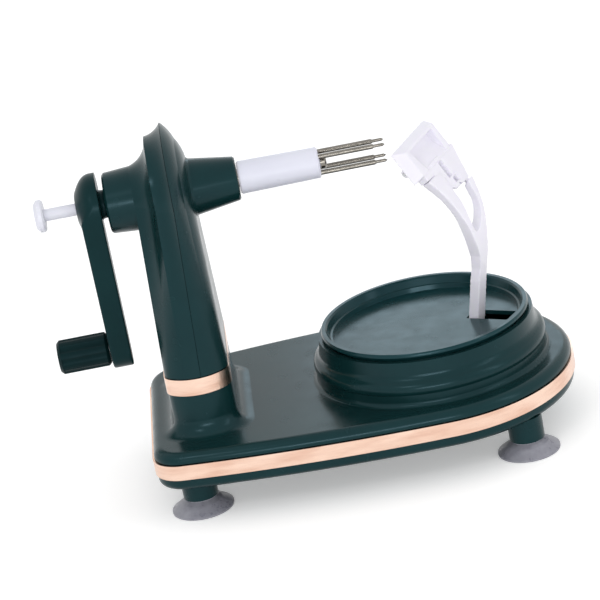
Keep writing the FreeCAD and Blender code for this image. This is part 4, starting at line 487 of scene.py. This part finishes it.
@dataclass(frozen=True)
class MouldedCopy:
    """A piece made from its CAD node, with the soft corners that the mould and its polish give.

    A grid of 0 keeps the node's own facets, and no passes keep its corners.
    """

    node: str
    body: str
    slot: str
    grid_mm: float = 0.0
    passes: int = 0
    weld_mm: float = 0.002
    polish_factor: float = 0.5
    smooth_deg: float = 30.0

    def build(self, finish: Finish, place: Matrix, shape: Callable[[Vector], Vector],
              added: Sequence[bpy.types.Object] = ()) -> None:
        """Copies the node, joins what is added, gives it an even skin and shapes it.

        Args:
            finish: what the piece is made of.
            place: frame in which the shaping works.
            shape: moves a point, in millimetres of that frame.
            added: forms that become part of the piece.
        """
        piece = bpy.data.objects.new(self.node + "_moulded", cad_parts[self.node].data.copy())
        bpy.context.scene.collection.objects.link(piece)
        select_only(piece)
        bpy.ops.object.mode_set(mode="EDIT")
        bpy.ops.mesh.select_all(action="SELECT")
        bpy.ops.mesh.remove_doubles(threshold=self.weld_mm * MM)
        bpy.ops.object.mode_set(mode="OBJECT")
        for form in added:
            form.select_set(True)
        if added:
            bpy.ops.object.join()
        if self.grid_mm:
            skin = piece.modifiers.new("even_skin", "REMESH")
            skin.mode = "VOXEL"
            skin.voxel_size = self.grid_mm * MM
            bpy.ops.object.modifier_apply(modifier=skin.name)
        there = place.inverted()
        for point in piece.data.vertices:
            point.co = place @ (shape((there @ point.co) / MM) * MM)
        if self.passes:
            polish = piece.modifiers.new("polish", "SMOOTH")
            polish.factor = self.polish_factor
            polish.iterations = self.passes
            bpy.ops.object.modifier_apply(modifier=polish.name)
        select_only(piece)
        bpy.ops.object.shade_smooth_by_angle(angle=math.radians(self.smooth_deg))
        piece.data.materials.clear()
        piece.data.materials.append(finish.material())
        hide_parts(self.node)
        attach(piece, self.body)
        log.info("%s moulded, %d faces", self.node, len(piece.data.polygons))


class Assembly:
    """A sub-assembly, which is built where its CAD nodes need softer forms, and then dressed."""

    def build(self) -> None:
        """Makes the pieces that replace CAD nodes. Most sub-assemblies need none."""

    def dress(self) -> None:
        """Gives the CAD nodes that show their finishes."""
        raise NotImplementedError


@dataclass(frozen=True)
class Base(Assembly):
    """Green shells, rose-gold bands, feet and screws. Sizes are in millimetres."""

    shells: tuple[str, ...] = ("base_lower_shell", "base_upper_shell")
    cups: tuple[str, ...] = ("suction_cup_1", "suction_cup_2", "suction_cup_3", "suction_cup_4")
    joint_gap: float = 0.4
    band_edges: Span = (24.4, 33.0)
    ring_edges: Span = (60.0, 69.5)
    # The ring is set back by this much on the dish side, which begins at these places along X and Y and
    # has the whole depth after these runs.
    ring_set_back: float = 0.42
    flush_start: Span = (-60.0, -34.0)
    flush_run: Span = (6.0, 10.0)

    def drawn_in(self, level: float, edges: Span) -> float:
        """Tells how far a band's edges give way to the open joints beside it.

        Args:
            level: height of a point of the band.
            edges: the band's lower and upper edge.

        Returns:
            The point's rise: the joint's width at the lower edge, and its opposite at the upper one.
        """
        low, high = edges
        return self.joint_gap * (1 - 2 * (level - low) / (high - low))

    def shape_band(self, point: Vector) -> Vector:
        """Leaves the open joints above and below the band.

        Args:
            point: a point of the band.

        Returns:
            Where it goes.
        """
        return point + Vector((0, 0, self.drawn_in(point.z, self.band_edges)))

    def shape_ring(self, point: Vector) -> Vector:
        """Leaves the ring's joints, and lets it lie almost flush along the column's dish side.

        Args:
            point: a point of the ring.

        Returns:
            Where it goes.
        """
        ahead, across, up = point
        flush = 1.0
        for at, start, run in zip((ahead, across), self.flush_start, self.flush_run):
            flush *= max(share(at - start, run), 0.0)
        return Vector((ahead - self.ring_set_back * flush, across, up + self.drawn_in(up, self.ring_edges)))

    def build(self) -> None:
        """Fits the band and the column's ring."""
        for node, shape in (("base_trim_band", self.shape_band), ("column_ring", self.shape_ring)):
            MouldedCopy(node, "base", "rose_metal").build(ROSE_BAND, Matrix(), shape)

    def dress(self) -> None:
        """Dresses the base."""
        dress(self.shells, GREEN_SHELL)
        dress(self.cups, CLEAR_CUP)
        dress(("base_screws",), TURNED_STEEL)


@dataclass(frozen=True)
class Column(Assembly):
    """Both column shells and the bushes in them."""

    shells: tuple[str, ...] = ("column_rear_shell", "column_front_shell")
    bushes: tuple[str, ...] = ("rear_bush", "front_bush", "upper_shaft_bush", "lower_shaft_bush")

    def dress(self) -> None:
        """Dresses the column."""
        dress(self.shells, GREEN_SHELL)
        dress(self.bushes, ACETAL)


@dataclass(frozen=True)
class Spindle(Assembly):
    """Hollow spindle with the sleeve, the tines and the push rod."""

    steel: tuple[str, ...] = ("spindle", "fork_tines", "ejector")
    rod: tuple[str, ...] = ("push_rod", "push_knob")

    def dress(self) -> None:
        """Dresses the spindle's pieces."""
        dress(self.steel, DRAWN_STEEL_PAINTED_REFLECTION)
        dress(("fork_sleeve",), WHITE_SLEEVE_PAINTED_SHADE)
        dress(self.rod, WHITE_KNOB)


@dataclass(frozen=True)
class Crank(Assembly):
    """Crank arm, its pin and its fluted grip.

    The shaping works in a frame at the spindle's axis: X towards the dish, Y across, Z up, in millimetres.
    """

    axis_mm: Point = (-61.8, 0.0, 154.7)
    back_face: float = -41.4
    front_face: float = -30.4
    face_skin: float = 0.4
    draft: float = 0.045
    top_radius: float = 16.6
    # The dome starts at this radius, drops this far at the rim and fades out below the axis.
    dome_start: float = 6.0
    dome_drop: float = 7.4
    dome_foot: float = -4.0
    dome_fade: float = 8.0

    def shape(self, point: Vector) -> Vector:
        """Turns the back of the crank's upper end off to a dome and gives the arm the mould's draft.

        Args:
            point: a point of the crank arm.

        Returns:
            Where it goes.
        """
        along, across, up = point
        thickness = self.front_face - self.back_face
        arm_ends = self.front_face + self.face_skin
        if along < arm_ends:
            behind = max((along - self.back_face) / thickness, 0.0)
            along -= self.draft * (across + self.top_radius) * behind
        if along > arm_ends or up < self.dome_foot:
            return Vector((along, across, up))
        radius = math.hypot(across, max(up, 0.0))
        rim = max(share(radius - self.dome_start, self.top_radius - self.dome_start), 0.0)
        drop = self.dome_drop * (1 - math.sqrt(1 - rim ** 2)) * share(up - self.dome_foot, self.dome_fade)
        return Vector((along + drop * share(self.front_face - along, thickness), across, up))

    def build(self) -> None:
        """Moulds the crank arm."""
        place = Matrix.Translation(Vector(self.axis_mm) * MM)
        arm = MouldedCopy("crank_arm", "crank", "green_plastic", grid_mm=0.5, passes=4)
        arm.build(GREEN_CRANK, place, self.shape)

    def dress(self) -> None:
        """Dresses the crank's other pieces."""
        dress(("crank_grip",), GREEN_GRIP_PAINTED_SHADE)
        dress(("grip_pin",), TURNED_STEEL)


@dataclass(frozen=True)
class Drive(Assembly):
    """Gears and the upright shaft inside the shells."""

    gears: tuple[str, ...] = ("spindle_gear", "shaft_gear", "drive_pinion", "middle_gear", "dish_gear")

    def dress(self) -> None:
        """Dresses the gear train."""
        dress(self.gears, ACETAL)
        dress(("drive_shaft", "gear_screws"), TURNED_STEEL)


@dataclass(frozen=True)
class Turntable(Assembly):
    """Dish with the arm's hinge and spring."""

    hinge: tuple[str, ...] = ("arm_pin", "arm_spring")

    def dress(self) -> None:
        """Dresses the dish and its hinge."""
        dress(("dish",), GREEN_DISH_PAINTED_LIGHT)
        dress(self.hinge, DRAWN_STEEL_PAINTED_REFLECTION)


@dataclass(frozen=True)
class ArmShape:
    """Smooth curves of the forked arm.

    It works in the dish's frame: X outwards, Y across the arm and Z above the dish's floor, in millimetres.
    Each edge is a table of height and place, first as the CAD node has it and then as it becomes.
    """

    near_edge: Table = ((27.0, 10.4), (84.0, -3.3))
    near_edge_soft: Table = ((20.0, 10.4), (27.0, 11.3), (34.0, 11.0), (44.0, 7.9), (60.0, 3.5),
                             (71.0, 0.6), (84.0, -3.0))
    near_side: Table = ((47.4, 14.6), (61.8, 10.0), (73.3, 6.9), (83.0, 4.3))
    near_side_soft: Table = ((46.0, 13.0), (48.0, 11.2), (51.0, 10.2), (57.0, 9.9), (64.0, 10.3),
                             (70.0, 9.9), (74.0, 10.6), (83.0, 12.0))
    far_side: Table = ((47.4, 16.2), (58.5, 21.0), (65.3, 24.4), (75.0, 29.2))
    far_side_soft: Table = ((46.0, 14.4), (48.0, 16.5), (51.0, 20.4), (55.0, 22.8), (60.0, 24.2),
                            (66.0, 24.6), (70.0, 25.2), (75.0, 26.4))
    far_edge: Table = ((27.0, 19.0), (33.0, 19.6), (39.3, 21.1), (48.0, 23.7), (56.5, 27.1), (64.5, 31.2),
                       (75.0, 37.0))
    far_edge_soft: Table = ((27.0, 19.0), (33.0, 19.6), (39.3, 21.0), (48.0, 23.8), (56.5, 26.8),
                            (64.5, 29.4), (70.0, 31.4), (75.0, 33.6))
    # The outer face over the height, and how much of the arm's thickness each prong keeps.
    outer_face: Table = ((40.0, 32.8), (45.0, 32.6), (50.0, 32.0), (55.0, 31.0), (60.0, 29.4), (65.0, 27.3),
                         (70.0, 24.7), (75.0, 21.4), (84.0, 14.6))
    near_kept: Table = ((38.0, 1.0), (46.0, 0.9), (58.0, 0.68), (67.0, 0.7), (76.0, 1.0))
    far_kept: Table = ((38.0, 1.0), (46.0, 0.9), (58.0, 0.62), (68.0, 0.62), (75.0, 0.85))
    # The arm keeps its CAD form below the first of these heights, and forks at the second.
    shaped_from: float = 20.0
    fork_level: float = 46.0
    prong_divide: float = 15.0
    least_width: float = 0.01

    def shape(self, point: Vector) -> Vector:
        """Lets the prongs spring from the stem in smooth curves.

        Args:
            point: a point of the arm.

        Returns:
            Where it goes.
        """
        reach, across, height = point
        if height < self.shaped_from:
            return point
        edges = [(self.near_edge, self.near_edge_soft), (self.near_side, self.near_side_soft),
                 (self.far_side, self.far_side_soft), (self.far_edge, self.far_edge_soft)]
        if height < self.fork_level:
            edges = [edges[0], edges[-1]]
        lines = [(between(height, drawn), between(height, soft)) for drawn, soft in edges]
        outside, outside_soft = lines[0] if across <= lines[0][0] else lines[-1]
        moved = across + outside_soft - outside
        for (low, low_soft), (high, high_soft) in zip(lines, lines[1:]):
            if low < across <= high:
                width = max(high - low, self.least_width)
                moved = low_soft + (high_soft - low_soft) * (across - low) / width
        face = between(height, self.outer_face)
        kept = between(height, self.near_kept if across < self.prong_divide else self.far_kept)
        return Vector((face - (face - reach) * kept, moved, height))


@dataclass(frozen=True)
class HeadShape:
    """Recess, slot, notch and open joints of the blade head.

    It works in the tray's frame: X out of the tray, Y along it and Z up to its upper edge, in millimetres.
    """

    # The near ear behind the tray is slimmed towards its root and its outer side.
    ear_root: float = -0.6
    ear_run: float = 1.0
    ear_reach: float = 5.0
    ear_kept: float = 0.74
    ear_side: float = 2.2
    # The far leg has an open joint with its prong, and its side is drawn in towards the arm.
    joint_level: float = -33.0
    joint_side: float = 23.0
    joint_gap: float = 0.5
    leg_level: float = -20.0
    leg_side: float = 24.0
    leg_drawn_in: float = 2.4
    leg_run: Span = (14.0, 10.0)
    # Each side of the recess is given by its place at one level and its slant.
    recess_level: float = -5.0
    recess_left: Span = (6.8, -0.26)
    recess_right: Span = (35.2, 0.08)
    recess_up: Span = (-18.6, -9.0)
    recess_out: Span = (1.3, 5.7)
    ramp_run: float = 9.0
    ramp_power: float = 1.3
    # The web and what is sunk into its outer face.
    web_outline: Table = ((12.0, -17.0), (12.6, -22.2), (15.2, -31.0), (17.4, -33.5), (23.3, -36.6),
                          (26.0, -36.9), (25.0, -17.0))
    web_out: Span = (0.4, 5.3)
    web_along: Span = (13.0, 24.4)
    web_edge: float = -29.5
    web_middle: float = 3.4
    web_thinned: float = 3.2
    web_run: float = 2.0
    slot_along: Span = (21.8, 25.0)
    slot_up: Span = (-29.2, -20.0)
    notch_along: Span = (24.2, 27.8)
    notch_up: Span = (-33.4, -30.8)
    sunk_depth: float = 3.8
    sunk_floor: float = 1.0

    def shape(self, point: Vector) -> Vector:
        """Sinks the recess, slot and notch, slims the far leg and the near ear, and opens the joints.

        Args:
            point: a point of the head.

        Returns:
            Where it goes.
        """
        out, along, up = point
        if out < self.ear_root and along < self.ear_reach:
            behind = share(self.ear_root - out, self.ear_run)
            out = self.ear_root + (out - self.ear_root) * self.ear_kept
            along = max(along, along + (self.ear_side - along) * behind)
        if up < self.joint_level and along > self.joint_side:
            up += self.joint_gap
        if up < self.leg_level and along > self.leg_side:
            along -= (self.leg_drawn_in * share(self.leg_level - up, self.leg_run[0])
                      * share(along - self.leg_side, self.leg_run[1]))
        left, right = [at + slant * (up - self.recess_level)
                       for at, slant in (self.recess_left, self.recess_right)]
        if left < along < right and within(up, self.recess_up) and within(out, self.recess_out):
            # The recess runs out in a ramp towards the arm.
            ramp = share(self.recess_up[1] - up, self.ramp_run) ** self.ramp_power
            out += (self.recess_out[1] - out) * ramp
        if within(along, self.web_along) and up < self.web_edge and out < self.web_middle:
            # The web thins out towards its lower edge.
            out = max(out, self.web_thinned * share(self.web_edge - up, self.web_run))
        slot = within(along, self.slot_along) and within(up, self.slot_up)
        notch = within(along, self.notch_along) and within(up, self.notch_up)
        if out > self.web_middle and (slot or notch):
            out = max(out - self.sunk_depth, self.sunk_floor)
        return Vector((out, along, up))


@dataclass(frozen=True)
class BladeArm(Assembly):
    """Forked white arm, the blade's tray and the blade, as they stand at rest."""

    dish_axis_mm: Point = (57.6, 0.0, 57.7)
    dish_turn_deg: float = 33.0
    tray_corner_mm: Point = (2.26, -9.0, 96.0)
    tray_tilt_deg: float = 29.5
    tray_roll_deg: float = 5.7
    arm: ArmShape = ArmShape()
    head: HeadShape = HeadShape()

    def frames(self) -> tuple[Matrix, Matrix]:
        """Works out where the arm and its tray stand.

        Returns:
            The frames of the dish and of the tray at rest.
        """
        axis = Matrix.Translation(Vector(self.dish_axis_mm) * MM)
        dish = axis @ Matrix.Rotation(-math.radians(self.dish_turn_deg), 4, "Z")
        corner = Matrix.Translation(Vector(self.tray_corner_mm) * MM)
        tilt = Matrix.Rotation(-math.radians(self.tray_tilt_deg), 4, "Y")
        roll = Matrix.Rotation(math.radians(self.tray_roll_deg), 4, "X")
        return dish, dish @ corner @ tilt @ roll

    def build(self) -> None:
        """Moulds the arm and the tray."""
        dish, tray = self.frames()
        arm = MouldedCopy("blade_arm", "arm", "white_plastic", grid_mm=0.45, passes=6)
        arm.build(WHITE_ARM, dish, self.arm.shape)
        web = add_prism("head_web", self.head.web_outline, *self.head.web_out, tray)
        head = MouldedCopy("blade_head", "arm", "white_plastic", grid_mm=0.38, passes=5)
        head.build(WHITE_ARM, tray, self.head.shape, (web,))

    def dress(self) -> None:
        """Dresses the blade and its pins."""
        dress(("peeler_blade",), GROUND_STEEL)
        dress(("blade_pins",), TURNED_STEEL)


@dataclass(frozen=True)
class Lamp:
    """A soft rectangular lamp: its place and sides in metres, its power in watts and its colour."""

    name: str
    at: Point
    sides: Span
    power: float
    colour: str = WHITE

    def hang(self, faced: Vector) -> None:
        """Adds the lamp to the scene.

        Args:
            faced: the point that it faces, in metres.
        """
        data = bpy.data.lights.new(self.name, "AREA")
        data.shape = "RECTANGLE"
        data.size, data.size_y = self.sides
        data.energy = self.power
        data.color = linear(self.colour)[:3]
        lamp = bpy.data.objects.new(self.name, data)
        lamp.location = self.at
        lamp.rotation_euler = (faced - Vector(self.at)).to_track_quat("-Z", "Y").to_euler()
        bpy.context.scene.collection.objects.link(lamp)


@dataclass(frozen=True)
class Studio:
    """Pale floor, soft lamps and the photograph's camera, whose three angles are in radians."""

    lamps: tuple[Lamp, ...] = (
        Lamp("key_softbox", (-0.7, -1.2, 1.3), (0.3, 0.3), 1.8),
        Lamp("front_softbox", (-0.1, -1.8, 0.4), (0.9, 0.2), 5.8),
        Lamp("side_softbox", (1.2, -0.7, 0.8), (0.14, 1.0), 1.6),
        Lamp("back_softbox", (0.28, 1.2, 0.53), (0.6, 0.2), 0.55, "#c8ecff"),
    )
    lamps_face: Point = (0.0, 0.0, 0.09)
    world_light: float = 0.87
    floor_colour: str = "#f4f4f4"
    floor_side: float = 6.0
    floor_drop: float = 0.0002
    floor_lift: float = 0.3
    camera_at_mm: Point = (5.63, -1432.22, 630.08)
    yaw: float = 0.0063
    pitch: float = 0.36434
    roll: float = -0.19407
    focal_px: float = 3000.0
    frame_px: float = 600.0
    sensor_mm: float = 36.0
    clip: Span = (0.05, 20.0)

    def place_camera(self) -> None:
        """Sets up the camera."""
        yaw, pitch, roll = self.yaw, self.pitch, self.roll
        level = Vector((math.cos(yaw), math.sin(yaw), 0))
        forward = Vector((-math.sin(yaw) * math.cos(pitch), math.cos(yaw) * math.cos(pitch),
                          -math.sin(pitch)))
        above = level.cross(forward)
        right = math.cos(roll) * level + math.sin(roll) * above
        up = -math.sin(roll) * level + math.cos(roll) * above
        data = bpy.data.cameras.new("camera")
        data.sensor_width = self.sensor_mm
        data.lens = self.focal_px / self.frame_px * data.sensor_width
        data.clip_start, data.clip_end = self.clip
        camera = bpy.data.objects.new("camera", data)
        turn = Matrix((right, up, -forward)).transposed().to_4x4()
        camera.matrix_world = Matrix.Translation(Vector(self.camera_at_mm) * MM) @ turn
        bpy.context.scene.collection.objects.link(camera)
        bpy.context.scene.camera = camera

    def seen_directly(self, tree: bpy.types.NodeTree) -> bpy.types.NodeSocket:
        """Tells whether the camera, a gloss or a clear piece looks at the background.

        Args:
            tree: node tree of the world or of the floor.

        Returns:
            1 for such a ray, and 0 for one that only lights the object.
        """
        path = add_node(tree, "ShaderNodeLightPath")
        gloss = add_node(tree, "ShaderNodeMath", {"operation": "MAXIMUM"},
                         {0: path.outputs["Is Glossy Ray"], 1: path.outputs["Is Transmission Ray"]})
        seen = add_node(tree, "ShaderNodeMath", {"operation": "MAXIMUM"},
                        {0: path.outputs["Is Camera Ray"], 1: gloss.outputs[0]})
        return seen.outputs[0]

    def light(self) -> None:
        """Hangs the lamps and makes the even world."""
        for lamp in self.lamps:
            lamp.hang(Vector(self.lamps_face))
        world = bpy.data.worlds.new("studio")
        bpy.context.scene.world = world
        world.use_nodes = True
        tree = world.node_tree
        tree.nodes.clear()
        shade = add_node(tree, "ShaderNodeMapRange", {"To Min": self.world_light, "To Max": 1.0},
                         {"Value": self.seen_directly(tree)})
        sky = add_node(tree, "ShaderNodeBackground", {"Color": linear(WHITE)},
                       {"Strength": shade.outputs[0]})
        add_node(tree, "ShaderNodeOutputWorld", links={"Surface": sky.outputs[0]})

    def lay_floor(self) -> None:
        """Lays the pale floor, white to the camera except for the object's shadow."""
        bpy.ops.object.select_all(action="DESELECT")
        bpy.ops.mesh.primitive_plane_add(size=self.floor_side, location=(0, 0, -self.floor_drop))
        floor = bpy.context.active_object
        floor.name = "floor"
        paper = Shading.start("floor_paper")
        tree = paper.tree
        paper.set_values({"Base Color": linear(self.floor_colour), "Roughness": 0.9})
        lift = add_node(tree, "ShaderNodeMath", {"operation": "MULTIPLY", 1: self.floor_lift},
                        {0: self.seen_directly(tree)})
        glow = add_node(tree, "ShaderNodeEmission", {"Color": linear(WHITE)},
                        {"Strength": lift.outputs[0]})
        both = add_node(tree, "ShaderNodeAddShader", links={0: paper.shader.outputs[0], 1: glow.outputs[0]})
        tree.links.new(both.outputs[0], tree.nodes["Material Output"].inputs["Surface"])
        floor.data.materials.append(paper.material)

    def build(self) -> None:
        """Sets up the whole studio."""
        self.place_camera()
        self.light()
        self.lay_floor()
        bpy.context.scene.view_settings.view_transform = "Standard"


def main() -> None:
    """Sets up the studio, and builds and dresses every sub-assembly."""
    logging.basicConfig(level=logging.INFO, format="%(message)s")
    Studio().build()
    for assembly in (Base(), Column(), Spindle(), Crank(), Drive(), Turntable(), BladeArm()):
        assembly.build()
        assembly.dress()


if __name__ == "__main__":
    main()
